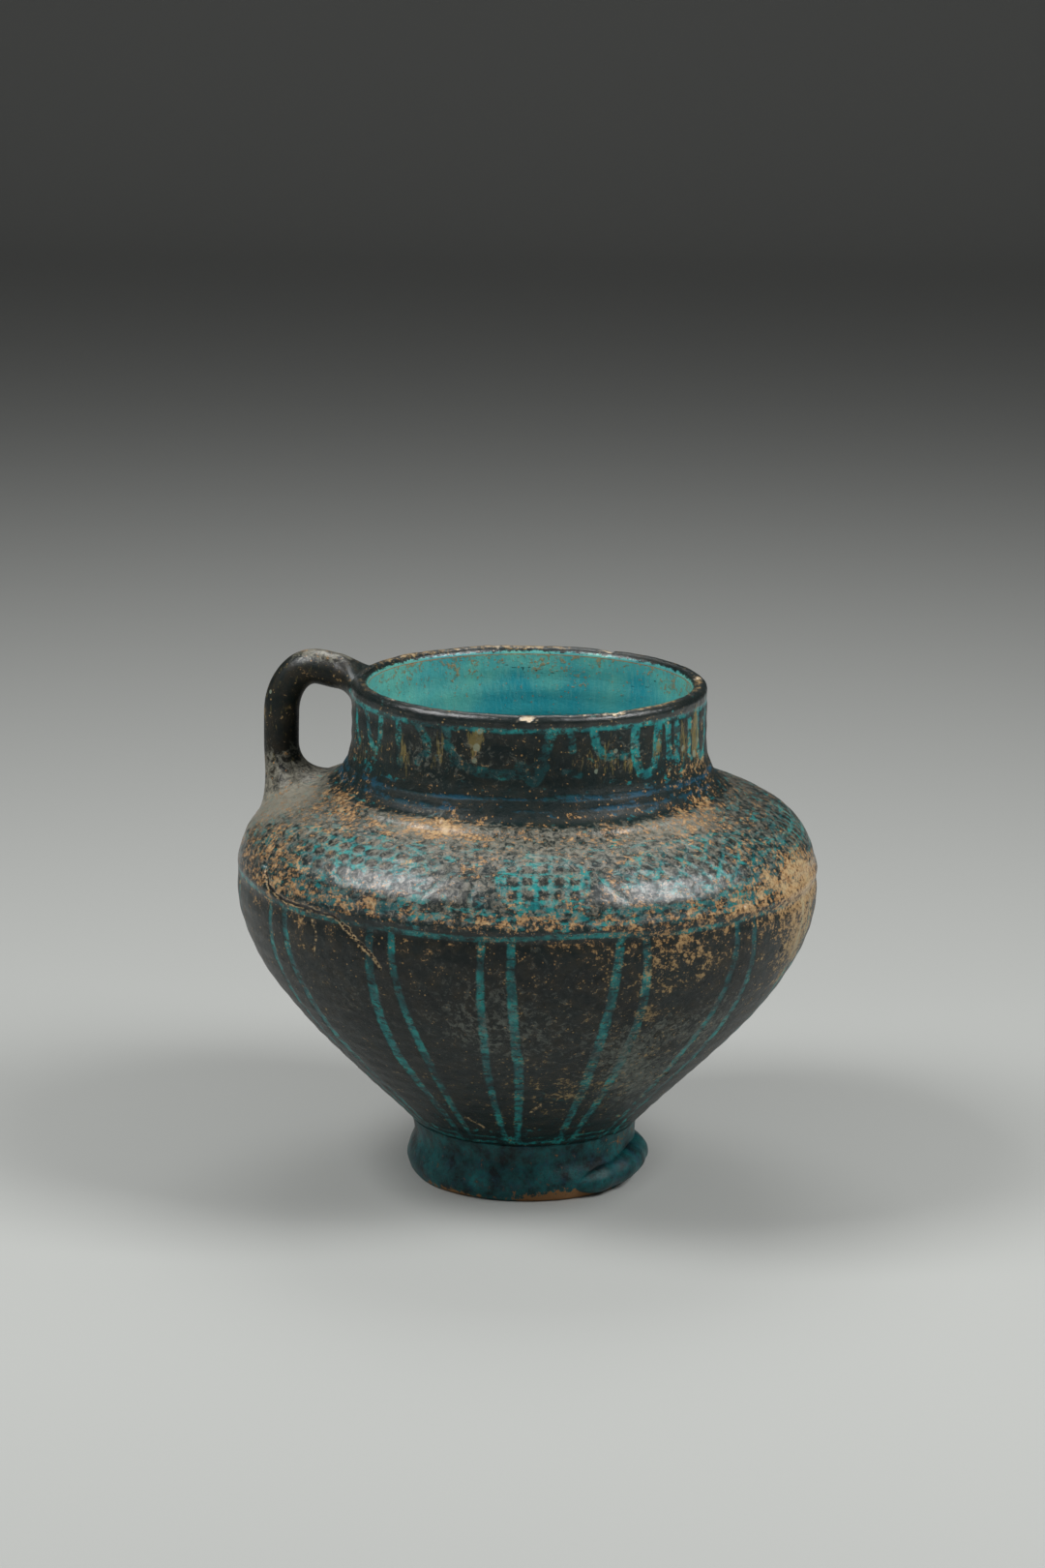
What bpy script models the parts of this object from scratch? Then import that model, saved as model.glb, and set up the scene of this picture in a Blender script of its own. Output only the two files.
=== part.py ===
"""Wide-mouthed pottery jug with one loop handle, thrown in sections and luted together with slip.

Units are metres and +Z is up. The origin is on the jug's axis, in the plane that the foot ring stands on.
The handle lies in the XZ plane, on the -X side.
"""

import math

import bmesh
import bpy
from mathutils import Vector

# Foot ring
FOOT_HEIGHT = 0.0167
FOOT_TOP_RADIUS = 0.0328
FOOT_WAIST_TUCK = 0.0006
FOOT_WAIST_HEIGHT = 0.0118
FOOT_FLARE = 0.0013
FOOT_FLARE_HEIGHT = 0.0052
FOOT_REST_FLARE = 0.0002
FOOT_RING_WIDTH = 0.0083
FOOT_EDGE_ROUND = 0.0012

# Lower bowl, from the foot to the widest part of the belly
BELLY_RADIUS = 0.0836
BOWL_HEIGHT = 0.0701
BOWL_SPRING_ANGLE = math.radians(48.0)
BOWL_SPRING_PULL = 0.0255
BOWL_BELLY_PULL = 0.0260
FLOOR_THICKNESS = 0.0075
FLOOR_DISH = 0.0110
BASE_WALL = 0.0065

# Shoulder, from the widest part of the belly in to the foot of the neck
SHOULDER_HEIGHT = 0.0260
SHOULDER_BELLY_PULL = 0.0100
SHOULDER_TOP_PULL = 0.0195
SHOULDER_SLOPE = math.radians(18.0)
BELLY_SEAM_RISE = 0.0047
BELLY_WALL = 0.0050

# Neck, from the foot of the neck to the lip
NECK_RADIUS = 0.0510
NECK_FLARE = 0.0132
NECK_FLARE_HEIGHT = 0.0168
NECK_FLARE_PULL = 0.0035
NECK_UPRIGHT_PULL = 0.0125
NECK_HEIGHT = 0.0332
NECK_SEAM_RISE = 0.0047
NECK_WALL = 0.0045

# Handle: a pulled rod, spread flat by the thumb where it meets the neck and the shoulder
ROD_DEPTH = 0.0102
ROD_WIDTH = 0.0110
FINGER_ROOM = 0.0179
HANDLE_CREST_RISE = 0.0051
HANDLE_CREST_RUN = 0.0125
HANDLE_SPRING_RUN = 0.0068
HANDLE_SPRING_DROP = 0.0009
HANDLE_BEND_DROP = 0.0140
HANDLE_LIMB_DROP = 0.0225
TOP_SPREAD_DROP = 0.0056
TOP_SPREAD_HALF_HEIGHT = 0.0044
TOP_SPREAD_HALF_WIDTH = 0.0175
TOP_FILLET_PULL = 0.0036
TOP_FILLET_FLOW = 0.0060
BASE_SPREAD_RUN = 0.0160
BASE_SPREAD_HALF_LENGTH = 0.0135
BASE_SPREAD_HALF_WIDTH = 0.0150
BASE_FILLET_PULL = 0.0075
BASE_FILLET_FLOW = 0.0050
SPREAD_EDGE = 0.0006
FLOW_SHARE = 0.8

# Luting: seams of slip, keyed by a low ridge, with a hair of clearance on each face
SLIP_THICKNESS = 0.0006
SEAM_KEY = 0.0012
CLEARANCE = 0.0003

# Roll of pooled glaze on the foot
ROLL_THICKNESS = 0.0026
ROLL_HEIGHT = 0.0094
ROLL_LIFT = 0.0006
ROLL_END_SHARE = 0.22
ROLL_START = math.radians(-38.0)
ROLL_END = math.radians(36.0)

# Facets
SIDES = 60
CURVE_STEPS = 7
FILLET_STEPS = 6
LIP_STEPS = 3
RING_POINTS = 16
SPREAD_STEPS = 3
ROLL_STEPS = 14
ROLL_LEVELS = 6
WELD = 1.0e-6
SHARP_ANGLE = math.radians(40.0)

# Share of its end tangents by which a cubic curve follows a quarter of an ellipse
ROUND = 0.5523

FOOT_WAIST_RADIUS = FOOT_TOP_RADIUS - FOOT_WAIST_TUCK
FOOT_FLARE_RADIUS = FOOT_TOP_RADIUS + FOOT_FLARE
FOOT_REST_RADIUS = FOOT_TOP_RADIUS + FOOT_REST_FLARE
FOOT_RECESS_RADIUS = FOOT_TOP_RADIUS - FOOT_RING_WIDTH
WIDEST_HEIGHT = FOOT_HEIGHT + BOWL_HEIGHT
NECK_FOOT_HEIGHT = WIDEST_HEIGHT + SHOULDER_HEIGHT
LIP_HEIGHT = NECK_FOOT_HEIGHT + NECK_HEIGHT
BELLY_SEAM = WIDEST_HEIGHT + BELLY_SEAM_RISE
NECK_SEAM = NECK_FOOT_HEIGHT + NECK_SEAM_RISE
FLOOR_HEIGHT = FOOT_HEIGHT + FLOOR_THICKNESS
SEAT_GAP = SLIP_THICKNESS / 2 + CLEARANCE


def clear_scene():
    for item in list(bpy.data.objects):
        bpy.data.objects.remove(item, do_unlink=True)


def finish(name, colour, roughness):
    material = bpy.data.materials.new(name)
    material.use_nodes = True
    shader = material.node_tree.nodes["Principled BSDF"]
    shader.inputs["Base Color"].default_value = (*colour, 1.0)
    shader.inputs["Roughness"].default_value = roughness
    shader.inputs["Metallic"].default_value = 0.0
    return material


def bezier_point(start, start_pull, end_pull, end, t):
    s = 1.0 - t
    return start * s**3 + start_pull * 3 * s * s * t + end_pull * 3 * s * t * t + end * t**3


def bezier(start, start_pull, end_pull, end, steps):
    """Points of a cubic curve, both ends included."""
    return [bezier_point(start, start_pull, end_pull, end, step / steps) for step in range(steps + 1)]


def heading(angle, length):
    return Vector((math.cos(angle), math.sin(angle))) * length


def joined(*runs):
    """Runs of points end to end, with each shared end kept once."""
    points = list(runs[0])
    for run in runs[1:]:
        points.extend(run[1:])
    return points


def outer_curve():
    """Outside of the body as (radius, height) points, from the foot seam up to the crest of the lip."""
    up = Vector((0.0, 1.0))
    foot = Vector((FOOT_TOP_RADIUS, FOOT_HEIGHT))
    widest = Vector((BELLY_RADIUS, WIDEST_HEIGHT))
    neck_foot = Vector((NECK_RADIUS + NECK_FLARE, NECK_FOOT_HEIGHT))
    neck = Vector((NECK_RADIUS, NECK_FOOT_HEIGHT + NECK_FLARE_HEIGHT))
    slope = heading(math.pi - SHOULDER_SLOPE, 1.0)
    bowl = bezier(
        foot,
        foot + heading(BOWL_SPRING_ANGLE, BOWL_SPRING_PULL),
        widest - up * BOWL_BELLY_PULL,
        widest,
        CURVE_STEPS + 2,
    )
    shoulder = bezier(
        widest,
        widest + up * SHOULDER_BELLY_PULL,
        neck_foot - slope * SHOULDER_TOP_PULL,
        neck_foot,
        CURVE_STEPS + 2,
    )
    flare = bezier(
        neck_foot,
        neck_foot + slope * NECK_FLARE_PULL,
        neck - up * NECK_UPRIGHT_PULL,
        neck,
        CURVE_STEPS,
    )
    return joined(bowl, shoulder, flare) + lip_arc(0.0, math.pi / 2)


def lip_arc(start, end):
    """Rounded lip: part of a half circle across the thickness of the neck."""
    half = NECK_WALL / 2
    centre = Vector((NECK_RADIUS - half, LIP_HEIGHT - half))
    turns = [start + (end - start) * step / LIP_STEPS for step in range(LIP_STEPS + 1)]
    return [centre + heading(turn, half) for turn in turns]


def wall_at(height):
    """Thickness of the wall, which thins from the base to the belly and on to the neck."""
    if height < WIDEST_HEIGHT:
        share = (height - FOOT_HEIGHT) / BOWL_HEIGHT
        return BASE_WALL + (BELLY_WALL - BASE_WALL) * share
    share = min(1.0, (height - WIDEST_HEIGHT) / SHOULDER_HEIGHT)
    return BELLY_WALL + (NECK_WALL - BELLY_WALL) * share


def normals_of(curve):
    """Outward normal at each point of a curve that runs upwards."""
    found = []
    for index in range(len(curve)):
        before = curve[max(index - 1, 0)]
        after = curve[min(index + 1, len(curve) - 1)]
        along = (after - before).normalized()
        found.append(Vector((along.y, -along.x)))
    return found


def inner_curve(outer):
    """Inside of the body from the middle of the floor up to the crest of the lip."""
    flare_top = NECK_FOOT_HEIGHT + NECK_FLARE_HEIGHT
    wall = []
    for point, normal in zip(outer, normals_of(outer)):
        inside = point - normal * wall_at(point.y)
        if FLOOR_HEIGHT + FLOOR_DISH < inside.y and point.y <= flare_top + WELD:
            wall.append(inside)
    corner = wall[0]
    rise = (wall[1] - wall[0]).normalized()
    floor = bezier(
        Vector((0.0, FLOOR_HEIGHT)),
        Vector((corner.x * ROUND, FLOOR_HEIGHT)),
        corner - rise * FLOOR_DISH * ROUND,
        corner,
        CURVE_STEPS - 2,
    )
    inside_lip = list(reversed(lip_arc(math.pi / 2, math.pi)))
    return joined(floor, wall) + inside_lip


def radius_at(curve, height):
    """Radius where a curve that runs upwards passes a height."""
    for low, high in zip(curve, curve[1:]):
        if low.y - WELD <= height <= high.y + WELD and high.y > low.y:
            return low.x + (high.x - low.x) * (height - low.y) / (high.y - low.y)
    raise ValueError("the curve does not reach this height")


def between(curve, low, high):
    """Part of an upward curve between two heights, with exact end points."""
    middle = [point for point in curve if low + WELD < point.y < high - WELD]
    ends = [Vector((radius_at(curve, height), height)) for height in (low, high)]
    return [ends[0], *middle, ends[1]]


def foot_edge(outside_radius, height):
    """Keyed face between the foot ring and the bowl, from its outside to the recess."""
    ridge_radius = (FOOT_TOP_RADIUS + FOOT_RECESS_RADIUS) / 2
    return [
        Vector((outside_radius, height)),
        Vector((ridge_radius, height + SEAM_KEY)),
        Vector((FOOT_RECESS_RADIUS, height)),
    ]


def seam_at(outer, height):
    """Place on the outside where a seam runs square through the wall, and the wall's direction there."""
    for low, high in zip(outer, outer[1:]):
        if low.y <= height < high.y:
            share = (height - low.y) / (high.y - low.y)
            return low.lerp(high, share), (high - low).normalized()
    raise ValueError("the wall does not reach this height")


def seam_edge(seam, shift):
    """Edge of a wall at a seam, moved along the wall, with the low ridge that keys it, outside first."""
    place, along = seam
    outside = place + along * shift
    inside = outside + Vector((-along.y, along.x)) * wall_at(place.y)
    ridge = (outside + inside) / 2 + along * SEAM_KEY
    return [outside, ridge, inside]


def below(curve, seam, shift):
    place, along = seam
    return [point for point in curve if (point - place).dot(along) < shift - WELD]


def above(curve, seam, shift):
    place, along = seam
    return [point for point in curve if (point - place).dot(along) > shift + WELD]


def link(name, shape, material):
    mesh = bpy.data.meshes.new(name)
    bmesh.ops.recalc_face_normals(shape, faces=shape.faces)
    shape.to_mesh(mesh)
    shape.free()
    mesh.shade_smooth()
    mesh.set_sharp_from_angle(angle=SHARP_ANGLE)
    mesh.materials.append(material)
    item = bpy.data.objects.new(name, mesh)
    bpy.context.scene.collection.objects.link(item)
    return item


def turned(name, profile, material):
    """Profile of (radius, height) points carried round the axis, and closed if it starts off the axis."""
    shape = bmesh.new()
    points = [shape.verts.new((point.x, 0.0, point.y)) for point in profile]
    edges = [shape.edges.new(pair) for pair in zip(points, points[1:])]
    if profile[0].x > WELD:
        edges.append(shape.edges.new((points[-1], points[0])))
    bmesh.ops.spin(
        shape, geom=points + edges, axis=(0, 0, 1), cent=(0, 0, 0), angle=2 * math.pi, steps=SIDES
    )
    bmesh.ops.remove_doubles(shape, verts=shape.verts, dist=WELD)
    return link(name, shape, material)


def lofted(name, rings, material):
    """Closed skin over rings of points. A ring of one point closes an end, and a wider end is capped flat."""
    shape = bmesh.new()
    loops = [[shape.verts.new(point) for point in ring] for ring in rings]
    for first, second in zip(loops, loops[1:]):
        count = max(len(first), len(second))
        for index in range(count):
            after = (index + 1) % count
            corners = [first[index % len(first)], first[after % len(first)]]
            corners += [second[after % len(second)], second[index % len(second)]]
            shape.faces.new(list(dict.fromkeys(corners)))
    for end in (loops[0], loops[-1]):
        if len(end) > 2:
            shape.faces.new(end)
    return link(name, shape, material)


def foot_outside():
    """Outside of the foot ring, from the rest face up to the foot seam."""
    rest = Vector((FOOT_REST_RADIUS, FOOT_EDGE_ROUND))
    flare = Vector((FOOT_FLARE_RADIUS, FOOT_FLARE_HEIGHT))
    waist = Vector((FOOT_WAIST_RADIUS, FOOT_WAIST_HEIGHT))
    top = Vector((FOOT_TOP_RADIUS, FOOT_HEIGHT))
    up = Vector((0.0, 1.0))
    lower = bezier(rest, (rest + flare) / 2, flare - up * (flare.y - rest.y) / 2, flare, CURVE_STEPS // 3)
    middle_pull = (waist.y - flare.y) / 2
    middle = bezier(flare, flare + up * middle_pull, waist - up * middle_pull, waist, CURVE_STEPS // 2)
    upper = bezier(waist, waist + up * (top.y - waist.y) / 2, (waist + top) / 2, top, CURVE_STEPS // 3)
    return joined(lower, middle, upper)


def make_foot_ring(material):
    wall = between(foot_outside(), FOOT_EDGE_ROUND, FOOT_HEIGHT - SEAT_GAP)
    rest = [
        Vector((FOOT_RECESS_RADIUS, FOOT_EDGE_ROUND)),
        Vector((FOOT_RECESS_RADIUS + FOOT_EDGE_ROUND, 0.0)),
        Vector((FOOT_REST_RADIUS - FOOT_EDGE_ROUND, 0.0)),
    ]
    seat = foot_edge(wall[-1].x, wall[-1].y)
    return turned("foot_ring", rest + wall + seat[1:], material)


def make_lower_bowl(outer, inner, belly_seam, material):
    base_height = FOOT_HEIGHT + SEAT_GAP
    base = foot_edge(radius_at(outer, base_height), base_height)
    centre = Vector((0.0, base_height))
    rim = seam_edge(belly_seam, -SEAT_GAP)
    inside = below(inner, belly_seam, -SEAT_GAP)
    outside = [point for point in below(outer, belly_seam, -SEAT_GAP) if point.y > base_height + WELD]
    profile = inside + list(reversed(rim)) + list(reversed(outside)) + base + [centre]
    return turned("lower_bowl", profile, material)


def make_shoulder(outer, inner, belly_seam, neck_seam, material):
    bottom = seam_edge(belly_seam, SEAT_GAP)
    top = seam_edge(neck_seam, -SEAT_GAP)
    inside = above(below(inner, neck_seam, -SEAT_GAP), belly_seam, SEAT_GAP)
    outside = above(below(outer, neck_seam, -SEAT_GAP), belly_seam, SEAT_GAP)
    profile = inside + list(reversed(top)) + list(reversed(outside)) + bottom
    return turned("shoulder", profile, material)


def make_neck_collar(outer, inner, neck_seam, material):
    bottom = seam_edge(neck_seam, SEAT_GAP)
    outside = above(outer, neck_seam, SEAT_GAP)
    inside = above(inner, neck_seam, SEAT_GAP)[:-1]
    return turned("neck_collar", inside + list(reversed(outside)) + bottom, material)


def make_seam_slip(name, seam, material):
    """Ring of slip between two keyed edges of the wall."""
    top = seam_edge(seam, SLIP_THICKNESS / 2)
    bottom = seam_edge(seam, -SLIP_THICKNESS / 2)
    return turned(name, list(reversed(top)) + bottom, material)


def make_foot_slip(material):
    top = foot_edge(FOOT_TOP_RADIUS, FOOT_HEIGHT + SLIP_THICKNESS / 2)
    bottom = foot_edge(FOOT_TOP_RADIUS, FOOT_HEIGHT - SLIP_THICKNESS / 2)
    return turned("foot_luting_slip", list(reversed(top)) + bottom, material)


def distances_of(curve):
    travelled = [0.0]
    for low, high in zip(curve, curve[1:]):
        travelled.append(travelled[-1] + (high - low).length)
    return travelled


def distance_at(curve, height):
    """Distance along an upward curve to where it passes a height."""
    travelled = distances_of(curve)
    for index in range(len(curve) - 1):
        low, high = curve[index], curve[index + 1]
        if low.y - WELD <= height <= high.y + WELD:
            return travelled[index] + (height - low.y) / (high.y - low.y) * (high - low).length
    raise ValueError("the curve does not reach this height")


def on_surface(curve, distance, sideways, lift):
    """Point of the turned surface on the handle's side.

    The distance runs along the profile, sideways runs round the body, and lift is the height off the surface.
    """
    travelled = distances_of(curve)
    normals = normals_of(curve)
    index = max(i for i in range(len(curve) - 1) if i == 0 or travelled[i] <= distance)
    share = (distance - travelled[index]) / (travelled[index + 1] - travelled[index])
    place = curve[index].lerp(curve[index + 1], share)
    normal = normals[index].lerp(normals[index + 1], share).normalized()
    turn = sideways / place.x
    lifted = place + normal * lift
    return Vector((-lifted.x * math.cos(turn), lifted.x * math.sin(turn), lifted.y))


def spread(curve, centre, half_length, half_width, lift, scale):
    """Oval on the turned surface; its first point is the one highest up the profile."""
    ring = []
    for index in range(RING_POINTS):
        angle = 2 * math.pi * index / RING_POINTS
        along = centre + half_length * scale * math.cos(angle)
        ring.append(on_surface(curve, along, half_width * scale * math.sin(angle), lift))
    return ring


def spread_steps(curve, centre, half_length, half_width, lift):
    """Ovals that fill a spread from its middle point out to its edge."""
    middle = [on_surface(curve, centre, 0.0, lift)]
    rings = []
    for step in range(1, SPREAD_STEPS + 1):
        rings.append(spread(curve, centre, half_length, half_width, lift, step / SPREAD_STEPS))
    return [middle] + rings


def top_spread(outer):
    """Place and half sizes of the handle's upper end on the neck."""
    centre = distance_at(outer, LIP_HEIGHT - TOP_SPREAD_DROP)
    return centre, TOP_SPREAD_HALF_HEIGHT, TOP_SPREAD_HALF_WIDTH


def base_spread(outer):
    """Place and half sizes of the handle's lower end on the shoulder."""
    centre = distance_at(outer, NECK_SEAM) - BASE_SPREAD_RUN
    return centre, BASE_SPREAD_HALF_LENGTH, BASE_SPREAD_HALF_WIDTH


def handle_path():
    """Middle line of the free part of the rod, from beside the neck, over the crest and down the limb."""
    crest_height = LIP_HEIGHT + HANDLE_CREST_RISE - ROD_DEPTH / 2
    reach = NECK_RADIUS + FINGER_ROOM + ROD_DEPTH / 2
    crest = Vector((-NECK_RADIUS - HANDLE_CREST_RUN, 0.0, crest_height))
    spring = Vector((-NECK_RADIUS - HANDLE_SPRING_RUN, 0.0, crest_height - HANDLE_SPRING_DROP))
    bend = Vector((-reach, 0.0, crest_height - HANDLE_BEND_DROP))
    limb_end = Vector((-reach, 0.0, crest_height - HANDLE_LIMB_DROP))
    out = Vector((-1.0, 0.0, 0.0))
    down = Vector((0.0, 0.0, -1.0))
    rise = (crest - spring) / 3
    rising = bezier(spring, spring + rise, crest - out * rise.length, crest, FILLET_STEPS // 2)
    round_out = out * (crest.x - bend.x) * ROUND
    round_down = down * HANDLE_BEND_DROP * ROUND
    arch = bezier(crest, crest + round_out, bend - round_down, bend, CURVE_STEPS)
    third = (limb_end - bend) / 3
    limb = bezier(bend, bend + third, limb_end - third, limb_end, FILLET_STEPS // 2)
    return joined(rising, arch, limb)


def rod_rings(path):
    """Oval cross-sections of the rod; the first point of each faces out of the loop."""
    rings = []
    for index, centre in enumerate(path):
        before = path[max(index - 1, 0)]
        after = path[min(index + 1, len(path) - 1)]
        along = (after - before).normalized()
        outwards = Vector((along.z, 0.0, -along.x))
        ring = []
        for step in range(RING_POINTS):
            angle = 2 * math.pi * step / RING_POINTS
            offset = outwards * math.cos(angle) * ROD_DEPTH / 2
            offset.y += math.sin(angle) * ROD_WIDTH / 2
            ring.append(centre + offset)
        rings.append(ring)
    return rings


def fillet_rings(rod, leaving, edge, flows):
    """Rings that flow from the rod's end ring to the edge of a spread, each point along a cubic curve."""
    rings = []
    for step in range(1, FILLET_STEPS):
        share = step / FILLET_STEPS
        ring = []
        for start, end, flow in zip(rod, edge, flows):
            ring.append(bezier_point(start, start + leaving, end - flow, end, share))
        rings.append(ring)
    return rings


def from_below(ring):
    """The same ring started at its lowest point and run the other way round."""
    half = len(ring) // 2
    return [ring[half - index] for index in range(len(ring))]


def outward_flow(ring, smaller, length):
    """For each point of a ring on the wall, a pull along the wall, away from a smaller ring inside it."""
    return [(point - within).normalized() * length for point, within in zip(ring, smaller)]


def lower_share(count):
    """Weights round a ring that fade from one at its lowest point to nothing at its first, highest one."""
    return [(1.0 - math.cos(2 * math.pi * index / count)) / 2 for index in range(count)]


def make_handle(outer, material):
    """Rod with both ends spread: the upper along the neck under the lip, the lower over the shoulder."""
    under = CLEARANCE + SLIP_THICKNESS + CLEARANCE
    path = handle_path()
    rod = rod_rings(path)
    top = top_spread(outer)
    base = base_spread(outer)

    top_edge = spread(outer, *top, under + SPREAD_EDGE, 1.0)
    top_leaving = (path[0] - path[1]).normalized() * TOP_FILLET_PULL
    top_within = spread(outer, *top, under + SPREAD_EDGE, FLOW_SHARE)
    top_pulls = outward_flow(top_edge, top_within, TOP_FILLET_FLOW)
    top_flow = [pull * share for pull, share in zip(top_pulls, lower_share(len(top_edge)))]
    top_fillet = fillet_rings(rod[0], top_leaving, top_edge, top_flow)
    top_seat = spread_steps(outer, *top, under)

    base_edge = from_below(spread(outer, *base, under + SPREAD_EDGE, 1.0))
    base_leaving = (path[-1] - path[-2]).normalized() * BASE_FILLET_PULL
    base_within = from_below(spread(outer, *base, under + SPREAD_EDGE, FLOW_SHARE))
    base_flow = outward_flow(base_edge, base_within, BASE_FILLET_FLOW)
    base_fillet = fillet_rings(rod[-1], base_leaving, base_edge, base_flow)
    base_seat = [from_below(ring) for ring in spread_steps(outer, *base, under)]

    skin = top_seat + [top_edge] + list(reversed(top_fillet)) + rod
    skin += base_fillet + [base_edge] + list(reversed(base_seat))
    return lofted("handle", skin, material)


def make_spread_slip(name, outer, place, material):
    """Bed of slip between a spread end of the handle and the wall."""
    below = spread_steps(outer, *place, CLEARANCE)
    above = spread_steps(outer, *place, CLEARANCE + SLIP_THICKNESS)
    return lofted(name, below + list(reversed(above)), material)


def roll_section(foot, turn, fullness):
    """Cross-section of the glaze roll at one angle: flat against the foot, and swollen outside."""
    base = FOOT_EDGE_ROUND + ROLL_LIFT
    against = []
    bulge = []
    for level in range(ROLL_LEVELS + 1):
        share = level / ROLL_LEVELS
        height = base + ROLL_HEIGHT * fullness * share
        radius = radius_at(foot, height) + CLEARANCE
        swell = ROLL_THICKNESS * fullness * math.sqrt(math.sin(math.pi * share))
        against.append((radius, height))
        bulge.append((radius + swell, height))
    outline = against + list(reversed(bulge[1:-1]))
    return [Vector((radius * math.cos(turn), radius * math.sin(turn), height)) for radius, height in outline]


def make_glaze_roll(material):
    """Bead that lies along the outside of the foot and thins to both ends."""
    foot = foot_outside()
    rings = []
    for step in range(ROLL_STEPS + 1):
        share = step / ROLL_STEPS
        fullness = ROLL_END_SHARE + (1.0 - ROLL_END_SHARE) * math.sqrt(math.sin(math.pi * share))
        rings.append(roll_section(foot, ROLL_START + (ROLL_END - ROLL_START) * share, fullness))
    return lofted("glaze_roll", rings, material)


def main():
    clear_scene()
    slip_glaze = finish("black slip under glaze", (0.016, 0.018, 0.017), 0.32)
    bowl_glaze = finish("turquoise lines on black slip", (0.018, 0.030, 0.030), 0.30)
    shoulder_glaze = finish("weathered turquoise glaze", (0.080, 0.095, 0.075), 0.42)
    foot_glaze = finish("dark teal glaze", (0.010, 0.075, 0.085), 0.28)
    handle_glaze = finish("dusty black slip", (0.030, 0.029, 0.024), 0.45)
    luting = finish("fired luting slip", (0.420, 0.280, 0.160), 0.80)
    pooled = finish("pooled turquoise glaze", (0.008, 0.110, 0.130), 0.18)

    outer = outer_curve()
    inner = inner_curve(outer)
    belly_seam = seam_at(outer, BELLY_SEAM)
    neck_seam = seam_at(outer, NECK_SEAM)

    pieces = [
        make_foot_ring(foot_glaze),
        make_foot_slip(luting),
        make_lower_bowl(outer, inner, belly_seam, bowl_glaze),
        make_seam_slip("belly_luting_slip", belly_seam, luting),
        make_shoulder(outer, inner, belly_seam, neck_seam, shoulder_glaze),
        make_seam_slip("neck_luting_slip", neck_seam, luting),
        make_neck_collar(outer, inner, neck_seam, slip_glaze),
        make_handle(outer, handle_glaze),
        make_spread_slip("handle_top_slip", outer, top_spread(outer), luting),
        make_spread_slip("handle_base_slip", outer, base_spread(outer), luting),
        make_glaze_roll(pooled),
    ]
    jug = bpy.data.objects.new("jug", None)
    bpy.context.scene.collection.objects.link(jug)
    for piece in pieces:
        piece.parent = jug


main()
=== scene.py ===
import math
from functools import partial

import bpy
import numpy as np
from mathutils import Matrix, Vector


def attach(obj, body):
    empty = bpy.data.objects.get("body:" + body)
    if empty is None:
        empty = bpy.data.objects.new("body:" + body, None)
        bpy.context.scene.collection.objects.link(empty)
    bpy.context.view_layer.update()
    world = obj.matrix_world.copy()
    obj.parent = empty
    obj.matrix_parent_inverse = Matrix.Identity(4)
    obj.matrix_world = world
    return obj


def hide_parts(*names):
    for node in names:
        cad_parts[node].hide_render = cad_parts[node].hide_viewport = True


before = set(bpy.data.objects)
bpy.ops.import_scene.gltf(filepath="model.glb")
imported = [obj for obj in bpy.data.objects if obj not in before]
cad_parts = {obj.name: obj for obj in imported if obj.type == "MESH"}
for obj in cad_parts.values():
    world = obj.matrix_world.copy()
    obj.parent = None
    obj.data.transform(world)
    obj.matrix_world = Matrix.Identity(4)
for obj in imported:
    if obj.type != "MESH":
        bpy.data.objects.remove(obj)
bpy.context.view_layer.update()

# Shapes are worked out in millimetres and put into the meshes in metres.
# "turn" is the angle round the jug in degrees, 0 towards the camera and growing to the right.
# "walk" is the distance along the outside from the foot seam up to the lip.
frontAngle = -77.0  # where turn 0 lies, as an angle from +X
handleTurn = 180.0 - frontAngle
farOff = -4.0  # signed distance, in mm, of a place that is well away from a painted line or a crack
farIn = 6.0  # the same for a place that is well inside the turquoise ground


def wrapDegrees(angle):
    return (angle + 180.0) % 360.0 - 180.0


def sideways(turn, at, radius):
    # Distance round the surface from the turn "at", in millimetres
    return np.radians(wrapDegrees(turn - at)) * radius


def unitRows(rows):
    return rows / np.maximum(np.linalg.norm(rows, axis=-1, keepdims=True), 0.001)


def cubicCurve(corners, count):
    # Each point weighs the four corner points, or rings of points, by powers of the share along the curve
    a, b, c, d = [np.array(corner, float) for corner in corners]
    t = np.linspace(0.0, 1.0, count).reshape(-1, *[1] * a.ndim)
    return (1 - t) ** 3 * a + 3 * (1 - t) ** 2 * t * b + 3 * (1 - t) * t ** 2 * c + t ** 3 * d


def smoothStep(low, high, value):
    share = np.clip((value - low) / (high - low), 0.0, 1.0)
    return share * share * (3.0 - 2.0 * share)


def between(limits, value):
    # Rises softly between the first two limits and falls between the last two
    return smoothStep(*limits[:2], value) * smoothStep(*limits[2:], value)


def softNoise(x, y, z, seed):
    # Random values at the corners of a lattice of unit cells, blended smoothly between them
    cells = [np.floor(v) for v in (x, y, z)]
    parts = [smoothStep(0.0, 1.0, v - c) for v, c in zip((x, y, z), cells)]
    total = np.zeros(np.broadcast(x, y, z).shape)
    for corner in range(8):
        bits = [corner & 1, corner >> 1 & 1, corner >> 2 & 1]
        key = sum((c + b) * m for c, b, m in zip(cells, bits, (127.1, 311.7, 74.7))) + seed * 53.3
        value = np.sin(key) * 43758.5453
        weight = 1.0
        for part, bit in zip(parts, bits):
            weight = weight * (part if bit else 1.0 - part)
        total = total + weight * (value - np.floor(value))
    return total


def roundNoise(turn, size, along, seed):
    # Soft noise that closes on itself round the jug: a circle of this many cells' radius through the lattice
    t = np.radians(turn)
    return softNoise(size * np.cos(t), size * np.sin(t), along, seed)


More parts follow.
